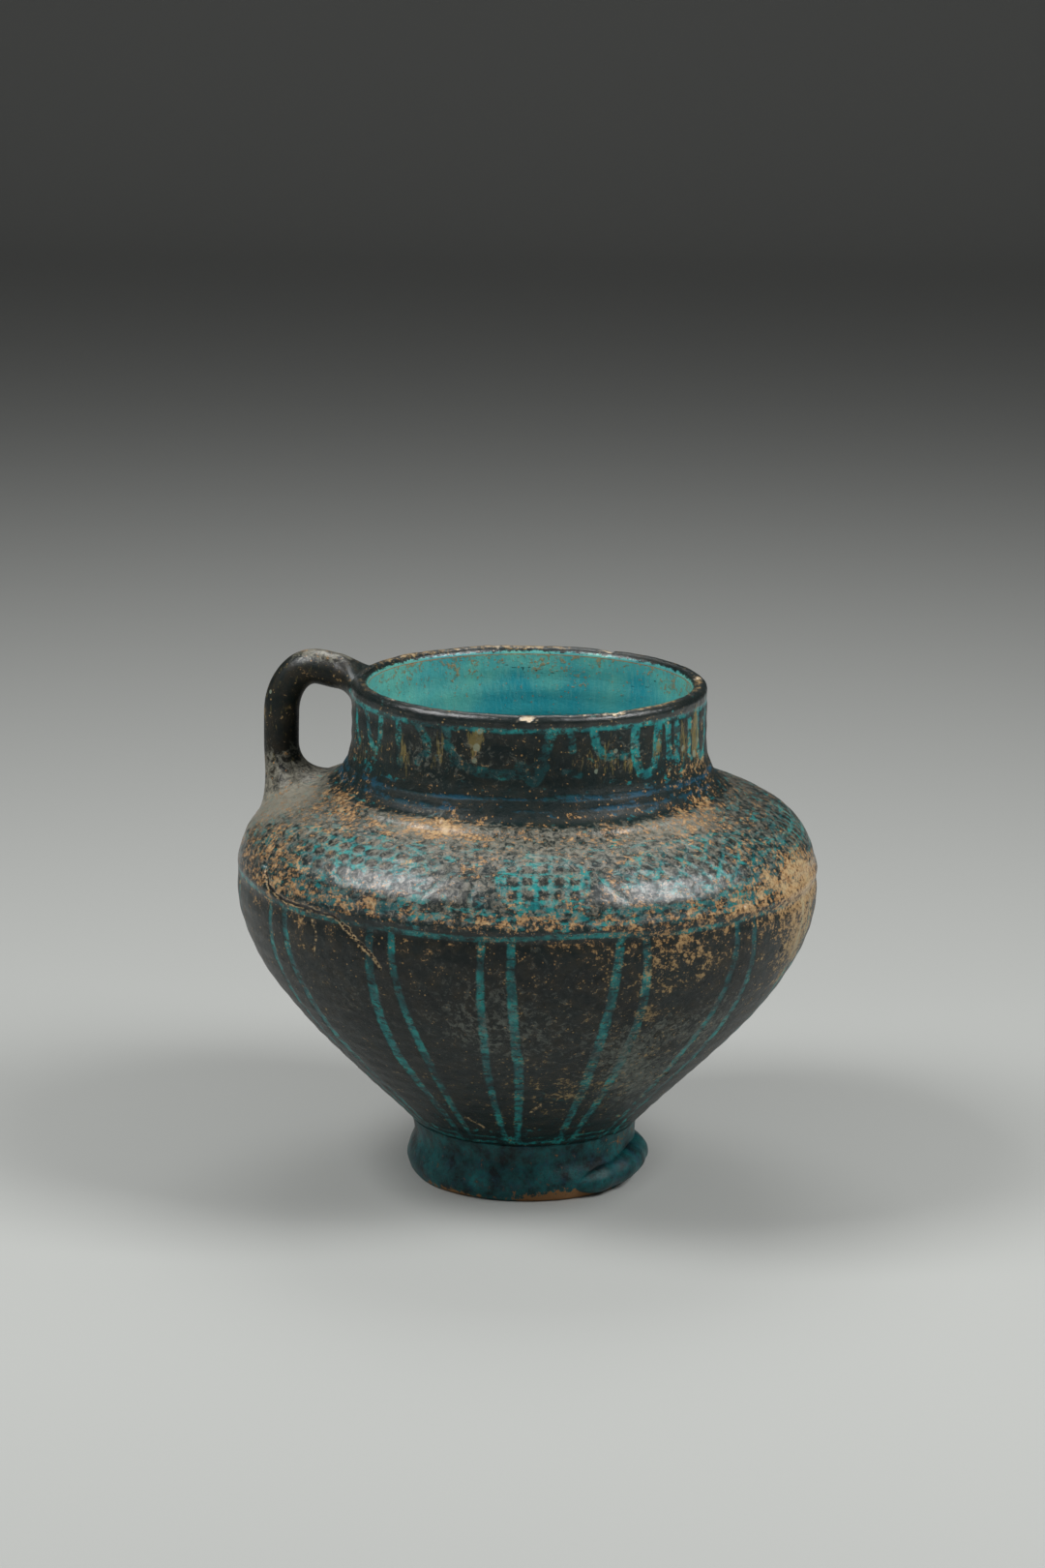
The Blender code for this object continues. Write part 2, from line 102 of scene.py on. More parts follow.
# The jug's outside, from the foot seam to the top of the neck, in the sizes of the solids
bodySizes = {
    "foot": (32.8, 16.7), "springAngle": 48.0, "springPull": 25.5, "bellyPull": 26.0,
    "widest": (83.6, 86.8), "shoulderPull": 10.0, "shoulderTopPull": 19.5, "shoulderSlope": 18.0,
    "neckFoot": (64.2, 112.8), "flarePull": 3.5, "uprightPull": 12.5, "neckStart": (51.0, 129.6),
    "lipHeight": 146.0, "baseWall": 6.5, "bellyWall": 5.0, "neckWall": 4.5,
    "floorHeight": 24.2, "floorRise": 11.0, "bellySeam": 91.5, "neckSeam": 117.5, "slipHalf": 0.3,
    "steps": (240, 160, 120, 60),  # points along bowl, shoulder, flare and neck
    "outOfRound": [(0.16, 2, 0.7), (0.10, 3, -1.2)],  # size in mm, waves round the jug and phase
}
lipHalf = bodySizes["neckWall"] / 2
lipRound = lipHalf * math.pi


def bodyCurve(sizes):
    # Cubic curves for bowl, shoulder and flare, then a straight neck up to where the lip starts to round
    corners = ("foot", "widest", "neckFoot", "neckStart")
    foot, widest, neckFoot, neckStart = [np.array(sizes[key]) for key in corners]
    spring, slope = math.radians(sizes["springAngle"]), math.radians(sizes["shoulderSlope"])
    springWay = np.array([math.cos(spring), math.sin(spring)])
    slopeWay = np.array([-math.cos(slope), math.sin(slope)])
    up = np.array([0.0, 1.0])
    bowlSteps, domeSteps, flareSteps, neckSteps = sizes["steps"]
    bowl = cubicCurve((foot, foot + springWay * sizes["springPull"],
                       widest - up * sizes["bellyPull"], widest), bowlSteps)
    dome = cubicCurve((widest, widest + up * sizes["shoulderPull"],
                       neckFoot - slopeWay * sizes["shoulderTopPull"], neckFoot), domeSteps)
    flare = cubicCurve((neckFoot, neckFoot + slopeWay * sizes["flarePull"],
                        neckStart - up * sizes["uprightPull"], neckStart), flareSteps)
    neck = np.linspace(neckStart, (neckStart[0], sizes["lipHeight"] - lipHalf), neckSteps)
    return np.concatenate([bowl, dome[1:], flare[1:], neck[1:]])


curve = bodyCurve(bodySizes)
curveWalk = np.concatenate([[0.0], np.cumsum(np.hypot(*np.diff(curve, axis=0).T))])
curveWay = unitRows(np.gradient(curve, curveWalk, axis=0))
lipWalk = curveWalk[-1]


def walkAtHeight(height):
    return np.interp(height, curve[:, 1], curveWalk)


bellySeamWalk = float(walkAtHeight(bodySizes["bellySeam"]))
neckSeamWalk = float(walkAtHeight(bodySizes["neckSeam"]))


def outside(walk):
    # Radius, height and outward normal of the plain outside at distances along it
    radius, height, wayR, wayZ = [np.interp(walk, curveWalk, column) for column in (*curve.T, *curveWay.T)]
    return radius, height, wayZ, -wayR


def wallThickness(height):
    marks = [bodySizes[key][1] for key in ("foot", "widest", "neckFoot")]
    return np.interp(height, marks, [bodySizes[key] for key in ("baseWall", "bellyWall", "neckWall")])


def profileRows(walk, side):
    # Rows of a wall: side 0 on the outside, 1 on the inside, and between them through the wall
    walk, side = np.broadcast_arrays(np.array(walk, float), np.array(side, float))
    radius, height, normR, normZ = outside(walk)
    depth = wallThickness(height) * side
    flip = np.where(side > 0.5, -1.0, 1.0)
    return {"rad": radius - depth * normR, "hgt": height - depth * normZ, "normR": normR * flip,
            "normZ": normZ * flip, "walk": walk, "side": side}


def joinRows(*runs):
    return {key: np.concatenate([run[key] for run in runs]) for key in runs[0]}


def ringTurns(columns):
    return np.linspace(-180.0, 180.0, columns, endpoint=False)


def spin(turn, radius, height):
    # Point at a turn, radius and height; a hand-thrown body is a little out of round, more so towards the lip
    t, angle = np.radians(turn), np.radians(turn + frontAngle)
    wobble = sum(size * np.cos(waves * t + phase) for size, waves, phase in bodySizes["outOfRound"])
    radius = radius + wobble * (0.4 + 0.8 * height / bodySizes["lipHeight"])
    return np.stack(np.broadcast_arrays(radius * np.cos(angle), radius * np.sin(angle), height), axis=-1)


# Painting and damage, drawn as strokes of (turn, walk) and a half width in millimetres
def smoothLine(points, perSpan=6):
    # Catmull-Rom curve through the points: each span bends to the slopes of its neighbours
    points = np.array(points, float)
    ends = np.concatenate([2 * points[:1] - points[1:2], points, 2 * points[-1:] - points[-2:-1]])
    a, b, c, d = ends[:-3, None], ends[1:-2, None], ends[2:-1, None], ends[3:, None]
    t = np.linspace(0.0, 1.0, perSpan, endpoint=False)[None, :, None]
    line = 2 * b + (c - a) * t + (2 * a - 5 * b + 4 * c - d) * t ** 2 + (3 * b - a - 3 * c + d) * t ** 3
    return np.concatenate([0.5 * line.reshape(-1, 2), points[-1:]])


def smoothStrokes(strokes):
    return [(smoothLine(points), half) for points, half in strokes]


def strokeField(turn, walk, radius, strokes):
    # Signed distance to the nearest stroke, positive inside it, measured along the surface
    field = np.full(turn.shape, farOff)
    margin = 12.0  # degrees to each side of a stroke that are worked out
    for line, halfWidth in strokes:
        line = np.asarray(line, float)
        middle = line[:, 0].mean()
        near = np.abs(wrapDegrees(turn - middle)) < np.abs(line[:, 0] - middle).max() + margin
        reach = halfWidth - farOff
        near &= (walk > line[:, 1].min() - reach) & (walk < line[:, 1].max() + reach)
        t, w, r = turn[near], walk[near], radius[near]
        best = np.full(t.shape, 99.0)
        for a, b in zip(line[:-1], line[1:]):
            ax, ay = sideways(t, a[0], r), w - a[1]
            bx, by = np.radians(b[0] - a[0]) * r, b[1] - a[1]
            share = np.clip((ax * bx + ay * by) / np.maximum(bx * bx + by * by, 1e-6), 0.0, 1.0)
            best = np.minimum(best, np.hypot(ax - share * bx, ay - share * by))
        field[near] = np.maximum(field[near], halfWidth - best)
    return field


def spots(turn, walk, radius, blobs):
    # Sum of soft round patches: (turn, walk, half width, half height, strength)
    total = np.zeros(turn.shape)
    for blobTurn, blobWalk, wide, high, strength in blobs:
        u, v = sideways(turn, blobTurn, radius) / wide, (walk - blobWalk) / high
        total += strength * np.exp(-u ** 2 - v ** 2)
    return total


neckPaint = {
    # lines round the neck: height, half width and sway, and half the gap of the pair at its foot
    "lipLine": (141.8, 0.66, 0.25), "flareLine": (121.0, 1.3, 0.5), "flareGap": 1.6,
    # loops, hooks and plain strokes under the lip: (turn, height) points and half width
    "strokes": [
        ([(-64.5, 141), (-63, 136), (-60.5, 132), (-57.5, 131.6), (-55.5, 135), (-55, 141)], 1.10),
        ([(-46, 141), (-45.6, 136), (-45, 129)], 1.17), ([(-74, 141), (-73, 134), (-70, 131)], 1.04),
        ([(-37, 140.5), (-34.2, 137.5), (-34, 134), (-37.5, 130.8)], 1.30),
        ([(-27, 141), (-26, 136), (-21, 131.2), (-12, 129.6), (-3, 130), (3.5, 133), (6.5, 141)], 1.49),
        ([(-2.6, 132.5), (1.2, 127.6), (5.0, 132.0)], 1.43), ([(11, 130.4), (16, 129.4)], 1.04),
        ([(20.5, 141), (21.5, 137.5), (24.5, 134.2), (28, 134.6), (31, 133.6)], 1.30),
        ([(35, 141), (35.4, 133), (37.5, 128.4), (40.6, 127.8), (43.5, 131), (44.6, 141)], 1.49),
        ([(49.2, 141), (49.9, 131.5)], 1.23), ([(53.6, 141), (54.4, 131)], 1.30),
        ([(62, 141), (62.2, 130.5)], 1.23), ([(13, 141.5), (13.4, 136.5)], 1.04),
        ([(69, 141), (69.6, 131.5), (72.5, 128), (76.5, 128.6), (78, 134), (78, 141)], 1.30),
    ],
    # the same kinds of stroke repeat round the back
    "backStart": 90.0, "backStep": 11.6, "backCount": 13, "backHalf": 1.2, "backShift": 1.4,
}


def neckStrokes(paint):
    strokes = list(paint["strokes"])
    for k in range(paint["backCount"]):
        at = paint["backStart"] + k * paint["backStep"]
        shift = paint["backShift"] * math.sin(k * 2.3)
        kinds = [
            [(at, 141), (at + 0.8, 133), (at + 3.4, 128.6 + shift), (at + 6.2, 133), (at + 7, 141)],
            [(at + 2, 141), (at + 2.3, 130.5 + shift)],
            [(at - 1, 141), (at + 1, 136), (at + 4.5, 133.4 + shift), (at + 8, 136), (at + 9.5, 141)],
            [(at + 5, 141), (at + 5.3, 132 + shift)],
        ]
        strokes.append((kinds[k % 4], paint["backHalf"]))
    # heights on the upright neck become distances along the profile
    return [(np.stack([line[:, 0], walkAtHeight(line[:, 1])], axis=1), half)
            for line, half in smoothStrokes(strokes)]


shoulderPaint = {
    # medallions: turn, walk, half width in degrees, half height in mm, pointedness, fill
    "medallions": [
        (-42, 113, 23.5, 9.5, 1, "spots"), (3.2, 109.6, 9.3, 9.6, 0, "grid"),
        (42.5, 111.5, 23.5, 10.5, 1, "hatch"), (84, 108.5, 17, 10.5, 0.3, "grid"),
        (124, 110, 10.5, 9.6, 0, "grid"), (163, 112, 22, 10, 1, "spots"),
        (202, 110, 10.5, 9.6, 0, "grid"),
    ],
    "outline": 0.62, "pitch": 4.3, "line": 0.72, "spotPitch": 5.0, "spotSize": 1.75, "edgeLine": 0.75,
    "strokes": [
        ([(-15.3, 112), (-17.5, 108), (-20.5, 103.2)], 0.8),
        ([(-10.6, 107.5), (-11, 103.5), (-10.4, 99)], 0.7),
        ([(-16.5, 104), (-14.5, 99.5)], 0.6), ([(14.6, 112), (16.4, 107), (19.5, 103)], 0.7),
        ([(16, 101.5), (13.6, 98)], 0.6), ([(66, 116), (68.5, 110), (67, 103)], 0.7),
        ([(-68, 112), (-70, 106), (-68, 100)], 0.7), ([(105, 114), (107, 107), (105.5, 100)], 0.7),
        ([(142, 114), (140, 107), (141.5, 100)], 0.7), ([(184, 114), (186, 107), (184.5, 100)], 0.7),
        ([(80, 98.5), (87, 96.5), (94, 98.5)], 0.9),
    ],
}


def medallionField(turn, walk, radius, paint):
    # Oval or pointed outlines, filled with crossing lines, slanting lines or a net that leaves oval spots
    field = np.full(turn.shape, farOff)
    offLine = lambda value, pitch: np.abs((value / pitch) % 1.0 - 0.5) * pitch
    pitch, thin = paint["pitch"], paint["line"]
    for at, midWalk, halfTurn, halfHigh, point, fill in paint["medallions"]:
        near = (np.abs(wrapDegrees(turn - at)) < halfTurn + 6.0) & (np.abs(walk - midWalk) < halfHigh + 5.0)
        across, along = sideways(turn[near], at, radius[near]), walk[near] - midWalk
        halfWide = math.radians(halfTurn) * radius[near]
        u, v = np.abs(across) / halfWide, np.abs(along) / halfHigh
        # the value over its own steepness is close to the distance from the outline
        bend = 2.0 - 0.85 * point
        value = 1.0 - u ** 2.0 - v ** bend
        steep = np.hypot(2.0 * u / halfWide, bend * np.maximum(v, 0.05) ** (bend - 1.0) / halfHigh)
        inside = value / np.maximum(steep, 0.02)
        if fill == "grid":
            pattern = thin - np.minimum(offLine(across, pitch), offLine(along, pitch))
        elif fill == "hatch":
            slant, other = across * 0.8 + along * 0.6, across * 0.7 - along * 0.7
            pattern = np.maximum(thin - offLine(slant, pitch), thin * 0.8 - offLine(other, pitch * 1.2))
        else:
            wide, high = paint["spotPitch"], paint["spotPitch"] * 0.8
            row = np.floor(along / high)
            sx = ((across / wide + 0.5 * (row % 2)) % 1.0 - 0.5) * wide
            sy = (along / high - row - 0.5) * high
            pattern = np.hypot(sx * 0.85, sy * 1.15) - paint["spotSize"]
        shape = np.maximum(np.minimum(inside, pattern), paint["outline"] - np.abs(inside))
        field[near] = np.maximum(field[near], shape)
    return field


bowlPaint = {
    "front": [-56.6, -28.6, -5.6, 20.2, 46.6], "total": 14,  # turns of the front pairs, pairs all round
    # half gap of a pair in degrees, and half width of its lines in mm, from the foot up
    "walk": [3.0, 18.0, 45.0, 70.0, 91.0],
    "gap": [3.0, 3.5, 4.0, 3.3, 2.55], "half": [0.75, 1.05, 1.35, 1.3, 1.1],
    "rings": [(2.0, 0.65), (4.6, 0.35)], "sway": 0.28, "uneven": 0.16, "ringSway": 0.4,
}


def bowlField(turn, walk, paint):
    # Pairs of lines that run down the bowl, and thin rings above the foot
    front = paint["front"]
    rest = paint["total"] - len(front)
    step = (front[0] + 360.0 - front[-1]) / (rest + 1)
    radius = outside(walk)[0]
    gap, half = [np.interp(walk, paint["walk"], paint[key]) for key in ("gap", "half")]
    field = np.full(turn.shape, farOff)
    for k, centre in enumerate(front + [front[-1] + step * (k + 1) for k in range(rest)]):
        for sign in (-1.0, 1.0):
            sway = paint["sway"] * np.sin(walk * 0.09 + k * 1.9 + sign)
            away = np.abs(sideways(turn, centre + sign * gap + sway, radius))
            field = np.maximum(field, half * (1.0 + paint["uneven"] * math.sin(k * 2.7 + sign)) - away)
    field = np.minimum(field, np.minimum(bellySeamWalk - 0.4 - walk, walk - 1.0))
    for at, thin in paint["rings"]:
        sway = paint["ringSway"] * np.sin(np.radians(turn * 3.0))
        field = np.maximum(field, thin - np.abs(walk - at - sway))
    return np.maximum(field, farOff)


def ornamentField(turn, walk, radius):
    # All painted lines on the outside, as a signed distance in mm, positive on the paint
    field = np.full(turn.shape, farOff)
    t = np.radians(turn)
    past = 3.0  # each section's painting runs this far past its seams
    onNeck, onBowl = walk > neckSeamWalk - past, walk < bellySeamWalk + past
    onDome = (walk > bellySeamWalk - past) & (walk < neckSeamWalk + past)
    if onNeck.any():
        at, half, sway = neckPaint["lipLine"]
        lip = half - np.abs(walk - walkAtHeight(at) - sway * np.sin(3 * t + 0.4))
        at, half, sway = neckPaint["flareLine"]
        flare = half * (1.8 * roundNoise(turn, 5.0, walk / 3.0, 7) - 0.5)
        flare -= np.abs(np.abs(walk - walkAtHeight(at) - sway * np.sin(2 * t + 1.0)) - neckPaint["flareGap"])
        drawn = np.maximum(np.maximum(lip, flare), strokeField(turn, walk, radius, neckStrokes(neckPaint)))
        field = np.where(onNeck, np.maximum(field, drawn), field)
    if onDome.any():
        drawn = np.maximum(medallionField(turn, walk, radius, shoulderPaint),
                           strokeField(turn, walk, radius, smoothStrokes(shoulderPaint["strokes"])))
        field = np.where(onDome, np.maximum(field, drawn), field)
    if onBowl.any():
        field = np.where(onBowl, np.maximum(field, bowlField(turn, walk, bowlPaint)), field)
    edge = bellySeamWalk + 0.5 * np.sin(4 * t + 0.6) + 0.4 * np.sin(9 * t)
    field = np.maximum(field, shoulderPaint["edgeLine"] - np.abs(walk - edge))
    return np.clip(field, farOff, -farOff)


damage = {
    "wander": [(0.7, 0.5, 0.3, 11), (0.35, 1.6, 0.9, 12)],  # size, cells for a degree and for a mm, seed
    "ragged": 1.1, "raggedSize": 0.7,  # broken outline of the lip chips
    # cracks: points of (turn, walk) and half width in mm
    "cracks": [
        ([(-64.2, 100.6), (-58.2, 95.6), (-52, 94.4), (-46.5, 94.7), (-39.5, 93.7), (-36.2, 91.1),
          (-33, 87.3), (-28.8, 81.7)], 0.42),
        ([(-21.8, 14.4), (-17, 9.4)], 0.12), ([(2, 20.1), (5.5, 26)], 0.12),
        ([(40.5, 33.1), (44.2, 35.4)], 0.25), ([(150, 88), (156, 70), (153, 58)], 0.2),
        ([(-46.5, 94), (-44, 88), (-45.5, 80)], 0.08),
    ],
    # cracks in the glaze inside the neck: points of (turn, height) and half width
    "insideCracks": [
        ([(-169, 141.2), (-175, 139.4), (-180, 139.8), (-186, 137.6), (-190, 138.2)], 0.16),
        ([(-177, 139.6), (-179, 136)], 0.12), ([(128, 140), (136, 136), (141, 137)], 0.12),
    ],
    # pits: turn, walk, radius and depth in mm
    "pits": [
        (-64.2, 101.2, 1.3, 0.9), (-25.5, 131.4, 1.7, 1.1), (14.8, 157.7, 0.6, 0.5), (-18, 153.7, 0.6, 0.5),
        (26.5, 153.2, 0.6, 0.5), (-7, 153.7, 0.5, 0.4), (46, 97, 1, 0.4), (60, 80, 1.2, 0.4),
        (120, 60, 1.1, 0.6), (-150, 104, 1.3, 0.7), (176, 150, 0.7, 0.5), (-120, 52, 1.2, 0.6),
    ],
    # lip chips: turn, place over the lip from outside 0 to inside 1, radius and depth in mm
    "chips": [
        (-0.8, 0.30, 1.5, 0.7), (29.4, 0.50, 1.9, 1.2), (27.2, 0.42, 1, 0.6), (-52, 0.55, 0.9, 0.4),
        (13, 0.40, 0.4, 0.25), (17.5, 0.42, 0.5, 0.3), (21.5, 0.42, 0.5, 0.35), (24.6, 0.42, 0.7, 0.45),
        (96, 0.5, 1.3, 0.6), (152, 0.45, 1.7, 0.9), (-168, 0.5, 1.1, 0.5),
    ],
}


def pitField(turn, walk, radius):
    # Depth of the round pits
    total = np.zeros(turn.shape)
    for at, pitWalk, size, depth in damage["pits"]:
        away = np.hypot(sideways(turn, at, radius), walk - pitWalk) / size
        total += depth * np.clip(1.0 - away ** 2, 0.0, 1.0)
    return total


def chipField(turn, walk, radius):
    # Depth of the lip chips, with a broken outline
    total = np.zeros(turn.shape)
    for at, share, size, depth in damage["chips"]:
        dx, dy = sideways(turn, at, radius), walk - lipWalk - share * lipRound
        cell = damage["raggedSize"]
        ragged = 1.0 + damage["ragged"] * (softNoise(dx / cell + at, dy / cell, 0.0, 5) - 0.5)
        total = np.maximum(total, depth * smoothStep(1.0, 0.45, np.hypot(0.65 * dx, dy) / size * ragged))
    return total


def crackField(turn, walk, radius, strokes):
    # Signed distance to the cracks, positive inside, with a line that wanders a little
    wander = sum(size * (softNoise(turn * fine, walk * long, 0.0, seed) - 0.5)
                 for size, fine, long, seed in damage["wander"])
    return strokeField(turn + wander, walk + wander, radius, strokes)


skin = {
    "ringDeep": 0.06, "ringPitch": 5.6, "lineSink": 0.07, "crackSink": 0.55,
    "lumps": [(0.42, 21, 17, 1), (0.22, 6.5, 5.5, 2), (0.10, 2.4, 2.2, 3)],  # depth, width, height, seed
    # low ridges and hollows: lift, walk and half height, at the carination and at the foot of the neck
    "carination": [(0.55, bellySeamWalk + 2.0, 1.7), (-0.40, bellySeamWalk - 1.6, 1.6)],
    "neckFoot": [(0.62, 130.2, 2.0), (-0.72, 135.0, 2.6)],
    "carinationFull": (0.35, 0.9), "neckFootFull": (0.35, 0.65), "neckFootTurns": (80.0, 40.0),
    # shoulder's edge over the long crack: lift, turns and heights between which it comes and goes
    "proud": 0.35, "proudTurns": (-72.0, -58.0, -30.0, -40.0), "proudHeights": (-0.5, 0.6, 9.0, 2.0),
    "radius": 80.0,
}


def relief(turn, walk, radius, ornament, crack):
    # Lift of the real skin off the plain outside: throwing rings, dents, sunk lines, cracks and pits
    swell = lambda bumps: sum(high * np.exp(-((walk - at) / half) ** 2) for high, at, half in bumps)
    lift = skin["ringDeep"] * np.sin(walk * 2 * math.pi / skin["ringPitch"] + 1.5 * np.sin(np.radians(turn)))
    for deep, wide, high, seed in skin["lumps"]:
        lift += deep * (roundNoise(turn, skin["radius"] / wide, walk / high, seed) - 0.5)
    lift -= skin["lineSink"] * smoothStep(-0.3, 0.3, ornament)
    lift -= skin["crackSink"] * smoothStep(-0.4, 0.15, crack)
    lift -= pitField(turn, walk, radius)
    # the carination is fuller in some stretches, and the crease at the foot of the neck is sharpest in front
    least, more = skin["carinationFull"]
    lift += (least + more * roundNoise(turn, 2.2, 0.0, 9)) * swell(skin["carination"])
    least, more = skin["neckFootFull"]
    lift += (least + more * smoothStep(*skin["neckFootTurns"], np.abs(turn))) * swell(skin["neckFoot"])
    proud = skin["proud"] * between(skin["proudTurns"], turn)
    return lift + proud * between(skin["proudHeights"], walk - bellySeamWalk)


# How weathered, streaked or dusty each place is, and where a sheen is painted in as pale film
weather = {
    # levels at distances along the outside: bare flecks, pale film of dust and painted sheen, ochre runs,
    # olive tint, haze of turquoise brushing, glassy coat and dimness of the paint
    "marks": [0.0, 14.0, 80.0, 91.0, 94.5, 97.5, 130.4, 134.4, 139.0, 157.0, 160.0],
    "levels": {
        "wear": [0.34, 0.43, 0.42, 0.50, 0.50, 0.58, 0.52, 0.46, 0.44, 0.43, 0.42],
        # pale film: over the shoulder, up to the foot of the neck, it is partly dust and partly a painted
        # sheen
        "dustAndSheen": [0.0, 0.06, 0.10, 0.12, 0.16, 0.42, 0.50, 0.10, 0.06, 0.01, 0.0],
        "ochre": [0.0] * 11,
        "olive": [0.8, 0.8, 0.6, 0.3, 0.1, 0.0, 0.0, 0.1, 0.2, 0.54, 0.6],
        "haze": [0.60, 0.40, 0.14, 0.18, 0.45, 0.78, 0.62, 0.50, 0.46, 0.36, 0.34],
        "glass": [0.24, 0.30, 0.32, 0.36, 0.60, 1.0, 1.0, 0.10, 0.12, 0.40, 1.0],
        "dim": [0.34, 0.48, 0.56, 0.70, 0.50, 0.22, 0.18, 0.50, 0.36, 0.10, 0.05],
    },
    # soft patches on top of the levels: turn, walk, half width, half height, strength
    "wear": [
        (-60, 103, 24, 9, 0.12), (-48, 122, 22, 7, 0.10), (-24, 130, 9, 5, 0.40), (-10, 127, 16, 4, 0.04),
        (20, 127, 26, 4, 0.05), (48, 127, 18, 5, 0.12), (62, 97, 24, 11, 0.22), (72, 84, 11, 12, 0.26),
        (82, 96, 22, 7, 0.22), (88, 84, 12, 9, 0.14), (68, 99, 14, 7, 0.16), (100, 93, 16, 6, 0.12),
        (66, 76, 13, 11, 0.28), (28, 84, 18, 9, 0.22), (26, 40, 16, 16, 0.10), (14, 30, 14, 10, 0.06),
        (-8, 97, 26, 2, 0.16), (40, 96, 24, 3, 0.20), (-40, 98, 26, 3, 0.10), (-30, 60, 14, 16, -0.16),
        (-70, 40, 24, 30, -0.1), (-12, 60, 12, 26, -0.05), (150, 100, 30, 10, 0.25), (-150, 90, 30, 12, 0.25),
        (110, 60, 24, 20, 0.12), (3, 110, 9, 7, -0.20), (34, 108, 16, 6, -0.18), (-20, 104, 9, 6, -0.10),
        (-41, 113, 18, 7, -0.18), (24, 68, 7, 5, 0.24), (8, 34, 14, 10, 0.05), (66, 143, 14, 6, 0.22),
        (-62, 131, 15, 5, 0.26), (56, 133, 16, 5, 0.20), (-15, 142, 30, 8, -0.06), (86, 108, 15, 9, -0.20),
        (-14, 104, 8, 6, -0.14),
    ],
    "haze": [
        (14, 99, 22, 4, 0.16), (48, 100, 14, 6, 0.22), (-14, 100, 12, 5, 0.14), (30, 110, 10, 8, 0.16),
        (-40, 100, 20, 5, 0.10), (52, 142, 18, 14, 0.20), (-62, 142, 14, 12, 0.20), (12, 32, 12, 6, 0.22),
        (46, 20, 10, 8, 0.2), (-74, 98, 14, 5, -0.4), (0, 128, 30, 4, -0.2), (3, 110, 10, 8, -0.52),
        (-41, 113, 22, 7, -0.56), (40, 111, 20, 7, -0.50), (84, 108, 16, 9, -0.60), (124, 110, 10, 8, -0.5),
        (-14, 104, 8, 6, -0.44), (16, 104, 6, 6, -0.34), (163, 112, 20, 7, -0.45), (202, 110, 10, 8, -0.5),
    ],
    "dim": [
        (-10, 149, 28, 9, 0.85), (-42, 150, 14, 10, 0.25), (60, 150, 18, 12, -0.45), (-4, 157, 34, 4, 0.40),
        (60, 40, 14, 40, 0.15), (-75, 60, 16, 40, 0.3),
    ],
    # patches of pale film; the broad ones at turn 6, walk 122 and turn 0, walk 62 are partly a painted sheen
    "dustAndSheen": [
        (-103, 112, 24, 13, 0.95), (-84, 120, 12, 9, 0.5), (-103, 157, 20, 6, 0.4), (-26, 130, 14, 5, 0.55),
        (24, 52, 9, 10, 0.40), (33, 61, 8, 7, 0.34), (6, 122, 48, 8, 0.16), (0, 62, 34, 22, 0.20),
        (44, 128, 16, 4, 0.40), (-60, 120, 14, 8, 0.2), (-14, 152, 22, 8, 0.26), (30, 153, 12, 7, 0.30),
        (-34, 150, 10, 9, 0.22), (38, 30, 12, 12, 0.44), (28, 40, 10, 10, 0.40), (-8, 66, 14, 14, 0.20),
        (46, 56, 11, 14, 0.44), (-40, 70, 14, 10, 0.12),
    ],
    "ochre": [
        (-30, 154, 3, 6, 0.5), (33, 150, 3, 7, 0.6), (-17, 155, 2, 7, 0.7), (67, 155, 2, 8, 0.8),
        (72, 150, 5, 9, 0.6), (-57, 146, 5, 8, 0.5), (0, 152, 6, 6, 0.4), (-43, 149, 2.6, 9, 0.8),
        (-50, 150, 4, 7, 0.42), (44.3, 152, 3, 8, 0.85), (58, 152, 4, 9, 0.9), (66, 151, 3, 8, 0.6),
        (-12, 158, 9, 4, 0.45), (25, 152, 6, 9, 0.65), (14, 150, 8, 6, 0.45), (-68, 148, 7, 10, 0.65),
        (10, 32, 9, 8, 0.5), (22, 36, 9, 8, 0.45), (36, 44, 9, 10, 0.35), (-25, 150, 14, 8, 0.42),
        (30, 24, 10, 7, 0.4), (130, 152, 20, 7, 0.5), (-150, 150, 20, 8, 0.5), (170, 30, 20, 10, 0.3),
    ],
}


def weatherFields(turn, walk, radius):
    # The level at each distance along the outside plus the patches there, from 0 to 1
    fields = {}
    for kind, levels in weather["levels"].items():
        patches = spots(turn, walk, radius, weather.get(kind, []))
        fields[kind] = np.clip(patches + np.interp(walk, weather["marks"], levels), 0.0, 1.0)
    return fields


def nearWall(points):
    # The painting and weather of the outer wall at points on it or a little off it, and how far off they are
    turn = np.degrees(np.arctan2(points[..., 1], points[..., 0])) - frontAngle
    walk, radius = walkAtHeight(points[..., 2]), np.hypot(points[..., 0], points[..., 1])
    wallRadius, _, normR, _ = outside(walk)
    fields = weatherFields(turn, walk, radius)
    fields.update(ornament=ornamentField(turn, walk, radius), ground=np.full(turn.shape, -farIn),
                  crack=np.full(turn.shape, farOff), wrap=points * 0.001)
    return fields, (radius - wallRadius) * normR


